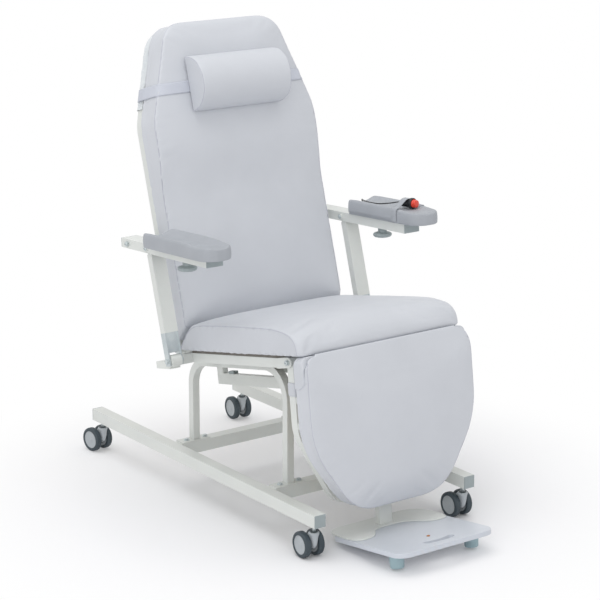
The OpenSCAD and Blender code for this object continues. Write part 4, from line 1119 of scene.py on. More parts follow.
    def seat_height(self, x: float, f: float) -> float:
        """The height of the seat's top.

        Args:
            x: The place across it in mm.
            f: The distance forward of the hinge in mm.

        Returns:
            The height in mm.
        """
        front = nose(self.seat_reach(x) - f, 245, 3.3)
        full = self.seat_tall * front * nose(f - self.seat_rear, 90, 1.2)
        rise = max(0.0, min(1.0, (f - self.seat_rear) / 150))
        crown = self.seat_crown * rise * (1 - (abs(x) / self.seat_half) ** 4) * front
        return max(6.0, full) + crown

    def seat_profile(self, x: float, round_off: float, count: int = 60) -> np.ndarray:
        """One closed side profile of the seat.

        Args:
            x: Its distance from the middle in mm.
            round_off: How far it is drawn in, in mm, near the side seams.
            count: Points along its top.

        Returns:
            Its points in the seat's frame in mm.
        """
        reach = self.seat_reach(x)
        points = []
        for k in range(count + 1):
            t = k / count
            f = reach - (reach - self.seat_rear) * (1 - math.cos(t * math.pi / 2)) ** 1.25
            points.append((x, -f, self.seat_height(x, f)))
        points += [(x, -(self.seat_rear + (reach - self.seat_rear) * k / 12), 0) for k in range(13)]
        out = np.array(points, float)
        if round_off:
            middle = np.array([x, -(reach + self.seat_rear) / 2, 34.0])
            gap = out - middle
            length = np.linalg.norm(gap, axis=1)[:, None]
            out = middle + gap * np.maximum(0.05, 1 - round_off / length)
            out[:, 0] = x
        return out

    def seat(self) -> tuple[bpy.types.Object, list[np.ndarray]]:
        """Readies the seat cushion.

        Returns:
            The cushion and its two side seams.
        """
        edge = self.seat_half - 1.5
        stations = [(-edge + 4, 150), (-edge + 4.5, 60), (-edge + 4, 14), (-edge + 1, 2.5), (-edge, 0.6),
                    (-edge + 1.5, 0), (-edge + 6, 0)]
        inner = [(x, 0.0) for x in np.linspace(-edge + 16, edge - 16, 44)]
        stations = stations + inner + [(-x, r) for x, r in reversed(stations)]
        rings = np.array([SEAT.world(self.seat_profile(x, r)) for x, r in stations])
        base, up = SEAT.world([[0, 0, 0]])[0], SEAT.way(0, 0, 1)
        piece = self.upholstery.prepare("seat_upholstery", rings, 7.5, 6, 5.0, [rings[4], rings[-5]],
                                        lambda p: ((p - base) @ up) < 4 * MM)
        return piece, [SEAT.world(self.seat_profile(x, 0.3)[:61]) for x in (-edge, edge)]

    def bolster_section(self, x: float, shrink: float) -> np.ndarray:
        """One half-round section of the bolster.

        Args:
            x: Its distance from the bolster's middle in mm.
            shrink: How far it is drawn in, in mm.

        Returns:
            Its points in the back's frame in mm.
        """
        rear, up, across = self.bolster_rear, self.bolster_up, x + self.bolster_shift
        half = self.bolster_tall / 2 - shrink
        points = []
        for k in range(41):
            a = math.pi * k / 40
            out = max(0.0, (self.bolster_deep - shrink) * math.sin(a) ** 0.9)
            points.append((across, -(rear + out), up - math.cos(a) * half))
        points += [(across, -rear, up + half * (1 - 2 * k / 14)) for k in range(1, 14)]
        return np.array(points)

    def bolster(self) -> tuple[bpy.types.Object, list[np.ndarray]]:
        """Readies the head bolster: half round, with flat sewn ends.

        Returns:
            The bolster and its two end seams.
        """
        edge = self.bolster_half - 1
        stations = [(-edge + 3, 75), (-edge + 3.4, 40), (-edge + 2.5, 10), (-edge + 0.6, 2), (-edge, 1),
                    (-edge + 1.5, 0)]
        inner = [(x, 0.0) for x in np.linspace(-edge + 9, edge - 9, 34)]
        stations = stations + inner + [(-x, s) for x, s in reversed(stations)]
        rings = np.array([BACK.world(self.bolster_section(x, s)) for x, s in stations])
        base, down = BACK.world([[0, -self.bolster_rear, 0]])[0], BACK.way(0, 1, 0)
        piece = self.upholstery.prepare("bolster_upholstery", rings, 5, 5, 6.0, [rings[4], rings[-5]],
                                        lambda p: ((p - base) @ down) > -2 * MM)
        return piece, [BACK.world(self.bolster_section(x, 1)[:41]) for x in (-edge, edge)]

    def welt(self, name: str, path: np.ndarray, piece: bpy.types.Object, body: str) -> None:
        """Sews a seam along a line on a cushion.

        Args:
            name: The seam's name.
            path: The line in metres.
            piece: The cushion.
            body: The body that carries it.
        """
        # The welt carries the darker seam finish, which is painted shade for the seam's groove.
        self.dresser.put(tube(name, snapped(path, piece, -0.3), 1.25 * MM, 8), body, SHADED_SEAM)

    def build(self) -> None:
        """Builds every cushion, swells them together and sews their seams."""
        back, calf = self.back(), self.calf()
        back_piece = back.prepare(self.upholstery, 7, 4.0)
        calf_piece = calf.prepare(self.upholstery, 6, 4.0)
        seat_piece, seat_seams = self.seat()
        bolster_piece, bolster_seams = self.bolster()
        self.upholstery.swell()
        self.dresser.put(back_piece, back.body, VINYL, back.node)
        self.dresser.put(calf_piece, calf.body, VINYL, calf.node)
        self.dresser.put(seat_piece, "chair", VINYL, "seat_cushion")
        self.dresser.put(bolster_piece, "backrest", VINYL, "head_bolster")
        for piece, fill in ((back_piece, 0.9), (calf_piece, 0.9), (seat_piece, 0.9), (bolster_piece, 0.85),
                            (self.gusset(), 0.9)):
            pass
        line = back.ring(0, 0, 0.96, 0)
        start = int(np.argmin(line[:, 2] + np.abs(line[:, 0]) * 0.001))
        self.welt("back_seam", BACK.world(np.roll(line, -start, 0)), back_piece, "backrest")
        line = calf.ring(0, 0, 0.96, 0)
        line = np.roll(line, -int(np.argmax(line[:, 2] - np.abs(line[:, 0]) * 0.001)), 0)
        line = line[line[:, 2] < 12]
        self.welt("calf_seam", CALF.world(line), calf_piece, "calf_rest")
        for k, path in enumerate(seat_seams):
            self.welt(f"seat_seam_{k}", path, seat_piece, "chair")
        for k, path in enumerate(bolster_seams):
            self.welt(f"bolster_seam_{k}", path, bolster_piece, "backrest")
        self.strap([back_piece, self.cover()])

    def cover(self) -> bpy.types.Object:
        """The crinkled cover drawn over the head of the frame.

        Returns:
            The cover.
        """
        outline = self.back_outline(11, 7)
        line = outline[outline[:, 1] > self.cover_low]
        line = np.roll(line, -int(np.argmax(np.linalg.norm(line - np.roll(line, 1, 0), axis=1))), 0)
        rows = [[(x, y, z) for x, z in line] for y in np.linspace(-15, 15, 9)]
        for k in range(1, 4):
            a = math.pi / 2 * k / 3
            drawn = 4 * (1 - math.cos(a))
            rows.append([(x - drawn * np.sign(x), 15 + 4.5 * math.sin(a), z - drawn) for x, z in line])
        for k in range(1, 26):
            share = 1 - k / 25
            rows.append([(x - 4 * np.sign(x), 19.5, self.cover_low + (z - (self.cover_low + 4)) * share)
                         for x, z in line])
        points = [self._crumpled(np.array(p, float)) for row in rows for p in row]
        faces = ring_faces(len(rows), len(line), False, False)
        piece = make_piece("head_cover_cloth", BACK.world(points), faces, 180)
        work = bmesh.new()
        work.from_mesh(piece.data)
        bmesh.ops.dissolve_degenerate(work, dist=2e-5, edges=work.edges)
        work.to_mesh(piece.data)
        work.free()
        piece.data.shade_smooth()
        self.dresser.put(piece, "backrest", COVER, "head_cover")
        return piece

    @staticmethod
    def _crumpled(point: np.ndarray) -> np.ndarray:
        """Moves a point of the cover outward by the depth of its folds.

        Args:
            point: The point in the back's frame in mm.

        Returns:
            The moved point.
        """
        seed = Vector(point / 13)
        fold = abs(noise.noise(seed)) + 0.5 * abs(noise.noise(seed * 2.3)) + 0.25 * noise.noise(seed * 5)
        out = unit((point - np.array([0, -10, 850.0])) * [1, 0.4, 1])
        if point[1] > 17:
            out = np.array([0, 1, 0])
        return point + out * (2.4 * fold + 0.4)

    def strap(self, under: Sequence[bpy.types.Object]) -> None:
        """The elastic strap round the head.

        Args:
            under: The pieces that it lies on.
        """
        trees = [surface(piece) for piece in under]
        # Rays come in from this far, in m, toward a line this far, in mm, before the hinge
        rays, reach, ahead = 720, 0.6, 55
        rings = []
        for level in self.strap_levels:
            middle = BACK.world([[0, -ahead, level]])[0]
            hits = []
            for k in range(rays):
                a = FULL_TURN * k / rays
                way = BACK.way(math.cos(a), math.sin(a), 0)
                far = 0.0
                for tree in trees:
                    hit = tree.ray_cast(Vector(middle + way * reach), Vector(-way), 0.58)
                    if hit[0] is not None:
                        far = max(far, reach - hit[3])
                if far:
                    hits.append((far * 1000 * math.cos(a), far * 1000 * math.sin(a)))
            rings.append(BACK.world([(x, y - ahead, level) for x, y in self._taut(hits)]))
        faces = ring_faces(len(rings), self.strap_steps, True, False)
        piece = make_piece("head_strap", np.concatenate(rings), faces, 180)
        thick = piece.modifiers.new("thick", "SOLIDIFY")
        thick.thickness = 1.6 * MM
        thick.offset = 1
        self.dresser.put(piece, "backrest", STRAP, "bolster_strap")

    @staticmethod
    def _half_hull(ordered: Sequence[tuple[float, float]]) -> list[tuple[float, float]]:
        """One half of the hull of points.

        Args:
            ordered: The points, sorted from one side to the other.

        Returns:
            The half, without its last point.
        """
        out: list[tuple[float, float]] = []
        for p in ordered:
            while len(out) > 1 and ((out[-1][0] - out[-2][0]) * (p[1] - out[-2][1])
                                    - (out[-1][1] - out[-2][1]) * (p[0] - out[-2][0])) <= 0:
                out.pop()
            out.append(p)
        return out[:-1]

    def _taut(self, hits: Sequence[tuple[float, float]]) -> list[tuple[float, float]]:
        """A taut line round points.

        Args:
            hits: The points that it goes round, in mm.

        Returns:
            The points of the line, a little outside them.
        """
        points = sorted(set((round(x, 3), round(y, 3)) for x, y in hits))
        hull = np.array(self._half_hull(points) + self._half_hull(points[::-1]))
        closed = np.vstack([hull, hull[:1]])
        length = np.concatenate([[0], np.cumsum(np.linalg.norm(np.diff(closed, axis=0), axis=1))])
        angles = np.unwrap(np.arctan2(closed[:, 1], closed[:, 0]))
        steps = self.strap_steps
        out = []
        for k in range(steps):
            place = np.interp(angles[0] + FULL_TURN * k / steps, angles, length)
            p = np.array([np.interp(place, length, closed[:, 0]), np.interp(place, length, closed[:, 1])])
            out.append(p * (1 + 1.0 / np.linalg.norm(p)))
        smoothed = [(out[i - 1] + 2 * out[i] + out[(i + 1) % steps]) / 4 * 1.0015 for i in range(steps)]
        smoothed = [max(a, b, key=np.linalg.norm) for a, b in zip(smoothed, out)]
        return [(float(p[0]), float(p[1])) for p in smoothed]


# Frame


@dataclass
class Base:
    """The wheeled base: rails, cross members, leg hoops, plates, bolts and welds."""

    dresser: Dresser
    hoop_x: float = 206.5
    tube: float = 25
    plate_top: float = 152
    leg_places: tuple[float, float] = (266.75, -258.25)
    bolt_x: tuple[float, float] = (166, 238)
    washer: Profile = ((5, 0), (9.6, 0), (10, 0.4), (10, 1.2), (9.6, 1.5), (5, 1.5))

    def build(self) -> None:
        """Builds the base."""
        put = self.dresser.finished
        put("base_rails", FRAME, 2.6, 3)
        put("base_cross_members", FRAME, 2.4, 3)
        put("rail_end_caps", CAP, 1.6, 3)
        for side in ("right", "left"):
            put("hoop_" + side, FRAME, 1.9, 3)
        put("foot_plate_bolts", ZINC, 0.5, 2)
        put("caster_stems", ZINC, 0.5, 2)
        for side in (-1, 1):
            for y in self.leg_places:
                corner = f"{letter(side)}_{'f' if y < 0 else 'b'}"
                self._weld(corner, side, y)
                for x in self.bolt_x:
                    at = Matrix.Translation(Vector((side * x, y, self.plate_top)) * MM)
                    washer = lathe(f"plate_washer_{corner}_{int(x)}", self.washer, at, 32)
                    self.dresser.put(washer, "chair", ZINC)

    def _weld(self, corner: str, side: int, y: float) -> None:
        """The weld bead where a leg stands on its plate.

        Args:
            corner: The letters of the leg's corner of the base.
            side: -1 for the right hoop, 1 for the left.
            y: Where the leg stands.
        """
        half = self.tube / 2 + 0.4
        line = divided(rounded([(-half, -half), (half, -half), (half, half), (-half, half)], [3] * 4, 4), 2.2)
        path = np.array([((side * self.hoop_x + a), y + b, self.plate_top + 0.6) for a, b in line]) * MM
        piece = loop(f"leg_weld_{corner}", path, 2.3 * MM, 8)
        ripple, waves = 0.5 * MM, 1400
        for vertex in piece.data.vertices:
            vertex.co += vertex.normal * ripple * math.sin(vertex.co.x * waves + vertex.co.y * waves)
        self.dresser.put(piece, "chair", WELD)


@dataclass
class Casters:
    """Four swivel casters with twin wheels."""

    dresser: Dresser
    yaws: tuple[float, ...] = (-3, 8, -4, 0)
    swivels: tuple[tuple[float, float], ...] = ((-291, -505.75), (-291, 713.25), (291, 713.25),
                                                (291, -505.75))
    trail: float = 29
    axle_z: float = 41
    track: float = 47
    # Half the width of a wheel
    half: float = 10.5
    # Rows of the housing's shell and of its web: height, half width, front and rear
    shell: tuple[tuple[float, float, float, float], ...] = (
        (86.4, 9, -9, 9), (86.4, 13.6, -12.6, 12.6), (85.6, 15.6, -14.2, 14.2), (83, 16.6, -14.6, 15.4),
        (79, 15.6, -14.6, 19), (74, 12.4, -14.4, 23), (66, 11.6, -14.2, 27), (56, 11.2, -13.2, 30),
        (46, 10.2, -10.5, 32), (38, 8.4, -6.5, 32), (33, 5.6, -1, 31), (31.5, 2, 5, 28))
    web: tuple[tuple[float, float, float, float], ...] = (
        (60, 7.5, 10, 44), (52, 8.8, 2, 48), (40, 9, -2, 49), (30, 8.6, 4, 47), (24, 7, 12, 42),
        (22.5, 4, 18, 36))
    collar: Profile = ((6.6, 86.6), (11.4, 86.6), (12, 87.2), (12, 88.6), (11.4, 89.2), (6.6, 89.2))

    def build(self) -> None:
        """Builds the four casters."""
        for i, ((x, y), yaw) in enumerate(zip(self.swivels, self.yaws), 1):
            at = Matrix.Translation(Vector((x, y, 0)) * MM) @ Matrix.Rotation(math.radians(yaw), 4, "Z")
            self._housing(i, at)
            self._wheels(i, at)

    def _tongue(self, name: str, rows: Sequence[Sequence[float]], at: Matrix) -> bpy.types.Object:
        """A closed form through rows of superellipses.

        Args:
            name: The piece's name.
            rows: Each row's height, half width, front and rear, in mm.
            at: The caster's frame.

        Returns:
            The piece.
        """
        sides, power = 28, 0.75
        points = []
        for z, half, front, rear in rows:
            for k in range(sides):
                a = FULL_TURN * k / sides
                c, s = math.cos(a), math.sin(a)
                x = half * math.copysign(abs(c) ** power, c)
                y = (front + rear) / 2 + (rear - front) / 2 * math.copysign(abs(s) ** power, s)
                points.append(at @ (Vector((x, y, z)) * MM))
        piece = make_piece(name, np.array(points), ring_faces(len(rows), sides), 50)
        finer = piece.modifiers.new("finer", "SUBSURF")
        finer.levels = finer.render_levels = 1
        return piece

    def _housing(self, i: int, at: Matrix) -> None:
        """The light shell, the dark web and the collar of a caster's stem.

        Args:
            i: The caster's number.
            at: The caster's frame.
        """
        body = f"caster_{i}"
        put = self.dresser.put
        put(self._tongue(f"caster_shell_{i}", self.shell, at), body, CASTER, f"caster_housing_{i}")
        put(self._tongue(f"caster_web_{i}", self.web, at), body, WEB)
        put(lathe(f"caster_ring_{i}", self.collar, at, 36), body, WEB)

    def _wheels(self, i: int, at: Matrix) -> None:
        """The twin wheels of a caster: tyres with a groove and dished hubs.

        Args:
            i: The caster's number.
            at: The caster's frame.
        """
        half = self.half
        tyre = [(29.8, -half + 0.6), (31, -half), (36.5, -half), (39, -half + 0.9), (40.4, -half + 2.6),
                (40.9, -half + 5), (41, -1.4), (40.5, -0.9), (40.5, 0.9), (41, 1.4), (40.9, half - 5),
                (40.3, half - 2.8), (38.6, half - 1), (35.5, half), (31.2, half), (30.2, half - 0.5),
                (29.8, half - 1.6), (29.8, 0)]
        hub = [(5.2, -half + 0.8), (27, -half + 0.8), (29.9, -half + 0.4), (29.9, half - 2.2),
               (29.2, half - 1.4), (28.2, half - 1.2), (27.4, half - 2), (26.2, half - 2.9), (20, half - 3.3),
               (9, half - 3.4), (7.8, half - 3.1), (7, half - 2), (5.2, half - 1.6), (0, half - 1.6)]
        axles = [at @ Matrix.Translation(Vector((side * self.track / 2, self.trail, self.axle_z)) * MM)
                 @ Matrix.Rotation(side * math.pi / 2, 4, "Y") for side in (-1, 1)]
        for name, profile, sides, finish in (("tyres", [*tyre, tyre[0]], 64, TYRE),
                                             ("hubs", hub, 56, CASTER)):
            points, faces = [], []
            for axle in axles:
                part = lathe(name, profile, axle, sides)
                start = len(points)
                points += [v.co.copy() for v in part.data.vertices]
                # A tyre's bore is open, so the two end faces of the turning are left out
                faces += [[start + v for v in p.vertices] for p in part.data.polygons
                          if len(p.vertices) < 40 or name == "hubs"]
                bpy.data.objects.remove(part)
            piece = make_piece(f"caster_{name}_{i}_made", np.array(points), faces, 35)
            self.dresser.put(piece, f"wheels_{i}", finish, f"caster_{name}_{i}")


@dataclass
class SeatFrame:
    """The seat's rails, tubes, ears, bolts and board."""

    dresser: Dresser

    def build(self) -> None:
        """Builds the seat's frame."""
        put = self.dresser.finished
        put("seat_rails", FRAME, 2.2, 3)
        put("seat_cross_tubes", FRAME, 1.6, 2)
        put("calf_hinge_ears", FRAME, 1.0, 2)
        put("hinge_bolts", ZINC, 0.6, 2)
        # The seat board takes the dark painted-shade finish, so that its edge reads as the shadow line under
        # the seat cushion.
        put("seat_board", BOARD_SHADE_LINE, 1.0, 2)
        for side in (-1, 1):
            for name, y, z, x in (("calf", -600, -22, 294.2), ("back", 0, 0, 304.6)):
                at = facing(SEAT.world([[x, y, z]], side)[0], (side, 0, 0))
                screw = bore_head(f"{name}_hinge_screw_{letter(side)}", at, 7, 4.5)
                self.dresser.put(screw, "chair", ZINC)


@dataclass
class BackFrame:
    """The back's tube, bar, axles and board, and the links below the seat."""

    dresser: Dresser

    def build(self) -> None:
        """Builds the back's frame and the links."""
        put = self.dresser.finished
        put("back_frame", FRAME, 2.0, 3)
        put("back_lever_bar", FRAME, 1.4, 2)
        put("arm_axles", ZINC, 0.6, 2)
        put("back_board", PLY, 1.0, 2)
        put("link_bars", FRAME, 1.4, 2)
        put("link_stops", CAP, 1.5, 3)


@dataclass
class Arms:
    """Both armrests: tube, caps, dished pad, knob, post and fork."""

    dresser: Dresser
    pad_rear: float = -160
    pad_len: float = 360
    pad_half: float = 57.5
    pad_shift: float = 19
    pad_base: float = 15.3
    pad_tall: float = 48
    knob_y: float = -296

    def build(self) -> None:
        """Builds both arms."""
        put = self.dresser.finished
        for word, side in (("right", -1), ("left", 1)):
            put("arm_channel_" + word, FRAME, 1.8, 3)
            put("arm_caps_" + word, CAP, 1.8, 3)
            put("arm_post_" + word, FRAME, 1.8, 3)
            put("post_fork_" + word, ZINC, 0.9, 2)
            self._pad(word, side)
            self._knob(word, side)
            for name, reach, y, out, body in (("post", 36.1, -113, -1, f"arm_{word}"),
                                              ("post", 36.1, -113, 1, f"arm_{word}"),
                                              ("rear", 36.6, 0, 1, "backrest")):
                at = facing(ARM.world([[out * reach, y, 0]], side)[0], (side * out, 0, 0))
                label = f"arm_{name}_screw_{word}_{'out' if out > 0 else 'in'}"
                self.dresser.put(bore_head(label, at, 6.5, 3.6), body, ZINC)

    def pad_top(self, u: float, along: float) -> float:
        """The height of the pad's top.

        Args:
            u: The place across it, from -1 to 1.
            along: The distance from its rear end in mm.

        Returns:
            The height above its base in mm.
        """
        fade = smooth((along - 215) / 115)
        dish = 12.5 * (1 - fade)
        top = self.pad_tall - 7 * fade - 1.5 * smooth((40 - along) / 40)
        edge = abs(u)
        bowl = math.cos(min(1.0, edge / 0.86) * math.pi / 2) ** 1.25
        roll = 8.5 * (1 - math.sqrt(max(0.0, 1 - max(0.0, (edge - 0.87) / 0.13) ** 2)))
        return top - dish * bowl - roll

    def _plan(self, along: float) -> float:
        """Half of the pad's width.

        Args:
            along: The distance from its rear end in mm.

        Returns:
            The half width in mm.
        """
        front = max(0.0, along - (self.pad_len - 72)) / 72
        rear = max(0.0, 14 - along) / 14
        inset = 14 * (1 - math.sqrt(max(0.0, 1 - rear * rear)))
        return self.pad_half * (1 - front ** 2.6) ** (1 / 2.6) - inset

    def _flank(self, side: int, along: float, half: float,
               shares: Sequence[float]) -> list[tuple[float, ...]]:
        """One flank of a section of the pad.

        Args:
            side: 1 for the outer flank, -1 for the inner.
            along: The distance from the pad's rear end in mm.
            half: Half of the section's width in mm.
            shares: The heights of the flank's points, as shares of its height.

        Returns:
            The points in the arm's frame in mm.
        """
        return [(self.pad_shift + side * (half + 1.2 * math.sin(share * math.pi)), self.pad_rear - along,
                 self.pad_base + share * self.pad_top(side, along)) for share in shares]

    def pad_rings(self, grow: float, start: float, end: float, count: int = 46) -> np.ndarray:
        """The pad's sections, one ring for each place along it.

        Args:
            grow: How far the rings lie outside the pad in mm.
            start: Where along the pad they begin.
            end: Where they end.
            count: How many rings there are.

        Returns:
            The rings in the arm's frame in mm.
        """
        rings = []
        shares = (0.72, 0.45, 0.2, 0.06)
        for k in range(count):
            t = k / (count - 1)
            t -= 0.06 * math.sin(FULL_TURN * t)
            along = start + (end - start) * t
            y = self.pad_rear - along
            half = max(6.0, self._plan(min(along, self.pad_len - 0.8)))
            ease = nose(min(along, (self.pad_len - along) / 2.4) + 1.2, 12, 2)
            row = []
            for j in range(33):
                u = -1 + 2 * j / 32
                u = math.sin(u * math.pi / 2) * 0.35 + u * 0.65
                high = self.pad_top(u, along) * (0.72 + 0.28 * ease) + grow
                row.append((self.pad_shift + u * (half + grow), y, self.pad_base + high))
            row += self._flank(1, along, half + grow, shares)
            row += [(self.pad_shift + (half + grow - 3) * (1 - 2 * j / 8), y, self.pad_base - grow)
                    for j in range(9)]
            row += self._flank(-1, along, half + grow, shares[::-1])
            rings.append(row)
        return np.array(rings)

    def _pad(self, word: str, side: int) -> None:
        """One moulded pad.

        Args:
            word: The side in the pieces' names.
            side: 1 for the sitter's left, -1 for the right.
        """
        rings = self.pad_rings(0, 0, self.pad_len)
        first, last = rings[0].copy(), rings[-1].copy()
        for ring in (first, last):
            ring[:, 0] = self.pad_shift + (ring[:, 0] - self.pad_shift) * 0.9
            ring[:, 2] = self.pad_base + 16 + (ring[:, 2] - self.pad_base - 16) * 0.84
        rings = np.concatenate([[first], rings, [last]])
        points = np.array([ARM.world(ring, side) for ring in rings]).reshape(-1, 3)
        piece = make_piece(f"arm_pad_foam_{word}", points, ring_faces(len(rings), rings.shape[1]), 70)
        finer = piece.modifiers.new("finer", "SUBSURF")
        finer.levels = finer.render_levels = 1
        self.dresser.put(piece, f"pad_{word}", PAD, f"arm_pad_{word}")

    def _knob(self, word: str, side: int) -> None:
        """One clamp knob with its stem.

        Args:
            word: The side in the pieces' names.
            side: 1 for the sitter's left, -1 for the right.
        """
        spot = ARM.world([[0, self.knob_y, -self.pad_base]], side)[0]
        at = facing(spot, ARM.world([[0, self.knob_y, -self.pad_base - 1]], side)[0] - spot)
        profile = [(0, 0), (14.4, 0), (14.4, 14), (15, 16.4), (20, 18), (27.5, 19.6), (30.2, 22), (31, 25),
                   (30.4, 28.4), (28, 31.6), (22, 33.6), (12, 34.2), (0, 34.2)]
        piece = lathe(f"pad_knob_{word}", profile, at, 72)
        inward = at.inverted()
        outward = inward.inverted()
        lobes, depth, stem = 14, 0.0007, 0.024
        for vertex in piece.data.vertices:
            p = inward @ vertex.co
            flat = math.hypot(p.x, p.y)
            if flat > stem:
                dip = depth * (1 + math.cos(lobes * math.atan2(p.y, p.x)))
                scale = (flat - dip) / flat
                vertex.co = outward @ Vector((p.x * scale, p.y * scale, p.z))
        self.dresser.put(piece, f"knob_{word}", CAP, f"clamp_knob_{word}")


@dataclass
class Handset:
    """The release handset on the left pad, with its sleeve, loop, button and cable."""

    dresser: Dresser
    arms: Arms
    at: tuple[float, float, float] = (26, -388, 71.8)
    turn: float = 12
    route: tuple[tuple[float, float, float], ...] = (
        (20.6, -362.6, 71.8), (19.8, -358.7, 71.6), (17, -350, 70), (9, -336, 67), (-5, -320, 65),
        (-15, -298, 63), (-9, -260, 60.6), (2, -220, 57.7), (14, -185, 56.1), (22, -165, 56),
        (26, -157, 55.6), (31, -151, 51), (37, -147, 43), (44, -144, 33), (50, -142, 22), (52.5, -141, 12),
        (50, -140, 4), (44.5, -140, 0.4), (39, -140, 0), (34.1, -140, 0))
    # The grip is turned from a gland, then ribs, then a collar round the button
    gland: Profile = ((0, -25.6), (3.4, -25.6), (4.2, -24), (5, -14), (9.5, -12.6), (12.2, -11.4), (13, -9.4),
                      (13, 2))
    rib: Profile = ((13, 2.4), (12.3, 3.2), (12.3, 4.4), (13, 5.2))
    rib_pitch: float = 3.6
    collar: Profile = ((13, 21.5), (15.4, 22.4), (17.6, 23.6), (18, 25), (18, 31.6), (17.3, 33.4), (15.8, 34),
                       (14.4, 33.8), (14, 32.6), (13.9, 26), (0, 26))
    button: Profile = ((0, 27), (13.3, 27), (13.4, 30), (13.4, 37), (13, 38.2), (12.4, 39), (12.4, 44.6),
                       (11.7, 46.8), (9.8, 47.8), (6, 48), (0, 48))
    strap: tuple[tuple[float, float, float], ...] = (
        (-41, -410, 22), (-41.5, -410, 45), (-38.5, -410, 61), (-27, -408, 66), (-8, -404, 76),
        (10, -400, 85.5), (25, -397, 87.6), (39, -394, 84.5), (54, -391, 75), (68, -388, 66.5),
        (77.5, -386, 55), (78.6, -386, 40), (78.6, -386, 22))
    strap_half: float = 12
    strap_thin: float = 0.7

    def cable(self) -> None:
        """The free cable, from the handset's gland to the grommet in the arm."""
        path = ARM.world(curve_through(self.route, 8))
        piece = tube("release_cable_run", path, 2 * MM, 10)
        piece.data.materials.append(self.dresser.materials[BLACK.name])
        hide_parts("release_cable")
        low, high = ARM.world([(51, -142, 18), (28, -155, 54)])
        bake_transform(piece)
        LOG.info("%s runs from arm_left to pad_left, in %s", piece.name, BLACK.name)

    def build(self) -> None:
        """Builds the handset, its button, the sleeve and the loop over it."""
        h = math.radians(self.turn)
        x, y, z = self.at
        spot = ARM.world([self.at])[0]
        at = facing(spot, ARM.world([[x + math.sin(h), y - math.cos(h), z]])[0] - spot)
        ribs = [(r, a + self.rib_pitch * k) for k in range(5) for r, a in self.rib]
        grip = lathe("handset_grip", [*self.gland, *ribs, *self.collar], at, 40)
        self.dresser.put(grip, "pad_left", BLACK, "handset")
        self.dresser.put(lathe("press_button", self.button, at, 40), "button", RED, "handset_button")
        self._sleeve()
        self._loop()

    def _sleeve(self) -> None:
        """The elastic sleeve round the rear of the left pad, with a slanted front hem."""
        shift, base = self.arms.pad_shift, self.arms.pad_base
        skirt = []
        for ring in self.arms.pad_rings(0.9, 1.5, 254, 32):
            row = [p for p in ring if p[2] > base + 1.0]
            skirt.append(sorted(row, key=lambda p: math.atan2(p[2] - 20, p[0] - shift)))
        count = min(len(row) for row in skirt)
        rows = np.array([row[:count] for row in skirt])
        middle = rows[:, :, 0] - shift
        share = (np.arange(len(rows)) / (len(rows) - 1))[:, None] ** 3
        rows[:, :, 1] -= share * (middle + 20) * 0.10
        points = ARM.world(rows.reshape(-1, 3))
        piece = make_piece("pad_sleeve_cloth", points, ring_faces(len(rows), count, False, False), 180)
        thick = piece.modifiers.new("thick", "SOLIDIFY")
        thick.thickness = 0.9 * MM
        thick.offset = 1
        self.dresser.put(piece, "pad_left", SLEEVE, "pad_sleeve")
        self.dresser.put(tube("sleeve_hem", ARM.world(rows[-1]), 1.3 * MM, 8), "pad_left", SLEEVE)

    def _loop(self) -> None:
        """The loop that holds the handset down, from one side of the pad to the other."""
        half, thin = self.strap_half, self.strap_thin
        section = np.array([(-half, -thin), (half, -thin), (half + 0.5, 0), (half, thin), (-half, thin),
                            (-half - 0.5, 0)]) * MM
        path = ARM.world(curve_through(self.strap, 6))
        ahead = ARM.way(0, -1, 0)
        rings = []
        for way, point in zip(unit(np.gradient(path, axis=0)), path):
            across = unit(ahead - way * (ahead @ way))
            over = np.cross(across, way)
            rings.append(point + section[:, :1] * across + section[:, 1:] * over)
        piece = make_piece("handset_loop", np.concatenate(rings), ring_faces(len(rings), len(section)), 60)
        self.dresser.put(piece, "pad_left", SLEEVE)


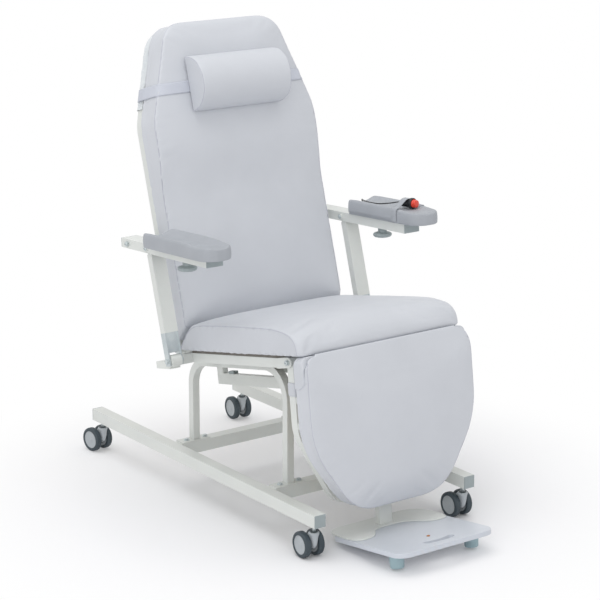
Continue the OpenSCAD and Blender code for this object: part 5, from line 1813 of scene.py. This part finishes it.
@dataclass
class CalfRest:
    """The calf rest's frame, soft sleeves and board, with the sliding footrest."""

    dresser: Dresser
    foot_z: float = -554
    board_t: float = 15
    # The winged bracket on the footboard: one half of its front and rear edges, and their middles
    wing_front: Profile = ((180, -16), (184, -60), (183, -98), (176, -122), (162, -134), (137, -135),
                           (110, -127), (90, -108), (72, -84), (50, -69), (26, -64))
    wing_rear: Profile = ((172, 6), (158, 22), (140, 33), (118, 38), (60, 38.5))
    wing_middles: tuple[float, float] = (-63, 38.5)
    # The heights of the soft sleeves' rings, and how far each stands off the tube
    sleeve: Profile = ((-104, 0.4), (-103.4, 2), (-101, 2.9), (-94, 3.2), (-83, 2.8), (-72, 3.2), (-65, 2.9),
                       (-62.6, 2), (-62, 0.4))
    tube_x: float = 268.5
    screw: Profile = ((0, 0), (5.8, 0), (5.9, 0.8), (5.2, 1.8), (3.6, 2.6), (2.6, 2.8), (2.2, 1.6), (0, 1.4))
    screw_y: float = -251
    foot: Profile = ((0, 0), (23.4, 0), (24, 0.8), (24, 5), (23, 7), (22.6, 20), (21.4, 38), (21, 42.5),
                     (19.6, 44.6), (14, 45), (12, 43.6), (0, 43.6))
    foot_at: tuple[float, float] = (144, -276)

    def build(self) -> None:
        """Builds the calf rest's hard parts and the footrest."""
        put = self.dresser.finished
        put("calf_frame", FRAME, 1.9, 3)
        put("calf_board", PLY, 1.0, 2)
        put("foot_post", FRAME, 2.0, 3)
        put("footboard", BOARD, 3.2, 4)
        self._sleeves()
        self._bracket()
        self._feet()

    def _sleeves(self) -> None:
        """The padded sleeves on the calf tubes below the hinge."""
        for word, side in (("right", -1), ("left", 1)):
            rows = []
            for z, grow in self.sleeve:
                half_x, half_y = 12.5 + grow, 15 + grow
                corners = [(-half_x, -half_y), (half_x, -half_y), (half_x, half_y), (-half_x, half_y)]
                rows.append([(side * self.tube_x + a, b, z) for a, b in rounded(corners, [4.5] * 4, 6)])
            points = CALF.world(np.array(rows).reshape(-1, 3))
            faces = ring_faces(len(rows), len(rows[0]), True, False)
            piece = make_piece(f"calf_sleeve_{word}", points, faces, 60)
            thick = piece.modifiers.new("thick", "SOLIDIFY")
            thick.thickness = 0.35 * MM
            thick.offset = -1
            self.dresser.put(piece, "calf_rest", VINYL, *(["calf_sleeves"] if side < 0 else []))

    def _bracket(self) -> None:
        """The winged bracket on the footboard, and the screw ahead of it."""
        front, rear = list(self.wing_front), list(self.wing_rear)
        ahead, behind = self.wing_middles
        edge = [(-x, y) for x, y in front] + [(0, ahead)] + front[::-1] + rear
        edge += [(0, behind)] + [(-x, y) for x, y in rear[::-1]]
        line = curve_through([*edge, edge[0]], 5)[:-1]
        points = [(x, y, z) for z in (self.foot_z, self.foot_z + 5) for x, y in line]
        piece = make_piece("foot_wings", CALF.world(points), ring_faces(2, len(line)), 40)
        soften_edges(piece, 1.7, 3, 50)
        self.dresser.put(piece, "footrest", WING, "foot_bracket")
        post = divided(rounded([(-26.5, -50), (26.5, -50), (26.5, -26), (-26.5, -26)], [3.5] * 4, 4), 2.4)
        path = CALF.world([(x, y, self.foot_z + 5.4) for x, y in post])
        self.dresser.put(loop("foot_post_weld", path, 2.2 * MM, 8), "footrest", WELD)
        spot = CALF.world([[0, self.screw_y, self.foot_z - 0.2]])[0]
        up = CALF.world([[0, self.screw_y, self.foot_z + 1]])[0] - spot
        self.dresser.put(lathe("board_screw", self.screw, facing(spot, up), 28), "footrest", BRASS)

    def _feet(self) -> None:
        """The two rubber feet under the footboard."""
        x, y = self.foot_at
        for word, side in (("right", -1), ("left", 1)):
            spot = CALF.world([[side * x, y, self.foot_z - self.board_t]])[0]
            down = CALF.world([[side * x, y, self.foot_z - self.board_t - 1]])[0] - spot
            piece = lathe(f"board_foot_{word}", self.foot, facing(spot, down), 44)
            self.dresser.put(piece, "footrest", FOOT, *(["foot_pads"] if side < 0 else []))


# Studio


@dataclass
class Studio:
    """The pale floor, the soft light and the camera of the photograph's view."""

    camera_at: tuple[float, float, float] = (-3881.8, -5348.95, 2435.6)
    target: tuple[float, float, float] = (74.36, 64.75, 621.59)
    lens: float = 128.97
    # Distances from the chair's middle, in m, between which the floor turns plain white
    fade: tuple[float, float] = (0.55, 1.3)

    def camera(self) -> None:
        """Sets up the camera."""
        data = bpy.data.cameras.new("view")
        data.lens = self.lens
        data.sensor_width = 36
        data.clip_end = 60
        camera = bpy.data.objects.new("view", data)
        bpy.context.scene.collection.objects.link(camera)
        at, aim = Vector(self.camera_at) * MM, Vector(self.target) * MM
        camera.matrix_world = facing(at, aim - at, "-Z")
        bpy.context.scene.camera = camera

    def world(self, light: float, colour: Colour) -> None:
        """Surrounds the chair with soft light and a white background.

        Args:
            light: The strength of the light all round.
            colour: Its colour.
        """
        world = bpy.data.worlds.new("studio")
        bpy.context.scene.world = world
        world.use_nodes = True
        tree = world.node_tree
        tree.nodes.clear()
        out = add_node(tree, "ShaderNodeOutputWorld")
        mix = add_node(tree, "ShaderNodeMixShader")
        soft = add_node(tree, "ShaderNodeBackground", {"Color": colour, "Strength": light})
        white = add_node(tree, "ShaderNodeBackground", {"Color": (1, 1, 1, 1), "Strength": 1.0})
        tree.links.new(self._seen(tree), mix.inputs["Fac"])
        tree.links.new(soft.outputs[0], mix.inputs[1])
        tree.links.new(white.outputs[0], mix.inputs[2])
        tree.links.new(mix.outputs[0], out.inputs["Surface"])

    @staticmethod
    def _seen(tree: bpy.types.NodeTree) -> bpy.types.NodeSocket:
        """A mask of the rays that show the background: from the camera, mirrored or through glass.

        Args:
            tree: The tree that needs the mask.

        Returns:
            The socket that gives it.
        """
        ray = add_node(tree, "ShaderNodeLightPath")
        total = ray.outputs["Is Camera Ray"]
        for label in ("Is Glossy Ray", "Is Transmission Ray"):
            add = add_node(tree, "ShaderNodeMath")
            add.operation = "ADD"
            add.use_clamp = True
            tree.links.new(total, add.inputs[0])
            tree.links.new(ray.outputs[label], add.inputs[1])
            total = add.outputs[0]
        return total

    def floor(self) -> None:
        """Lays the floor."""
        size = 30.0
        corners = np.array([(-size, -size, 0), (size, -size, 0), (size, size, 0), (-size, size, 0)])
        piece = make_piece("studio_floor", corners, [(0, 1, 2, 3)])
        material = bpy.data.materials.new("studio_floor")
        material.use_nodes = True
        tree = material.node_tree
        shader = tree.nodes["Principled BSDF"]
        shader.inputs["Base Color"].default_value = paint(250, 250, 252)
        shader.inputs["Roughness"].default_value = 0.9
        shader.inputs["Specular IOR Level"].default_value = 0.0
        place = add_node(tree, "ShaderNodeTexCoord")
        away = add_node(tree, "ShaderNodeVectorMath")
        away.operation = "LENGTH"
        tree.links.new(place.outputs["Object"], away.inputs[0])
        fade = add_node(tree, "ShaderNodeMapRange")
        fade.interpolation_type = "SMOOTHSTEP"
        fade.inputs["From Min"].default_value, fade.inputs["From Max"].default_value = self.fade
        tree.links.new(away.outputs["Value"], fade.inputs["Value"])
        mask = add_node(tree, "ShaderNodeMath")
        mask.operation = "MULTIPLY"
        tree.links.new(self._seen(tree), mask.inputs[0])
        tree.links.new(fade.outputs[0], mask.inputs[1])
        glow = add_node(tree, "ShaderNodeEmission", {"Strength": 1.0})
        mix = add_node(tree, "ShaderNodeMixShader")
        tree.links.new(mask.outputs[0], mix.inputs["Fac"])
        tree.links.new(shader.outputs[0], mix.inputs[1])
        tree.links.new(glow.outputs[0], mix.inputs[2])
        tree.links.new(mix.outputs[0], tree.nodes["Material Output"].inputs["Surface"])
        piece.data.materials.append(material)

    @staticmethod
    def lamp(name: str, at: Sequence[float], aim: Sequence[float], size: float, watts: float,
             colour: Colour) -> None:
        """Hangs one soft square lamp.

        Args:
            name: Its name.
            at: Where it hangs, in metres.
            aim: Where it points.
            size: The length of its side.
            watts: Its power.
            colour: Its colour.
        """
        data = bpy.data.lights.new(name, "AREA")
        data.size = size
        data.energy = watts
        data.color = colour[:3]
        lamp = bpy.data.objects.new(name, data)
        bpy.context.scene.collection.objects.link(lamp)
        lamp.matrix_world = facing(at, Vector(aim) - Vector(at), "-Z")
        lamp.visible_camera = False

    def build(self) -> None:
        """Sets up everything but the camera."""
        white = paint(255, 255, 255)
        self.floor()
        self.world(0.74, white)
        self.lamp("overhead", (-0.8, -0.2, 5.0), (0, 0, 0.5), 4.0, 70, white)
        self.lamp("front_left", (-4.4, -3.6, 3.0), (0, 0, 0.7), 3.0, 45, white)


def main() -> None:
    """Dresses the chair and sets up the studio."""
    logging.basicConfig(level=logging.INFO, format="%(message)s")
    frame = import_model()
    bpy.context.scene.view_settings.view_transform = "Standard"
    studio = Studio()
    studio.camera()
    dresser = Dresser(frame)
    arms = Arms(dresser)
    handset = Handset(dresser, arms)
    handset.cable()
    Base(dresser).build()
    Casters(dresser).build()
    SeatFrame(dresser).build()
    BackFrame(dresser).build()
    arms.build()
    handset.build()
    CalfRest(dresser).build()
    Cushions(dresser).build()
    studio.build()


if __name__ == "__main__":
    main()
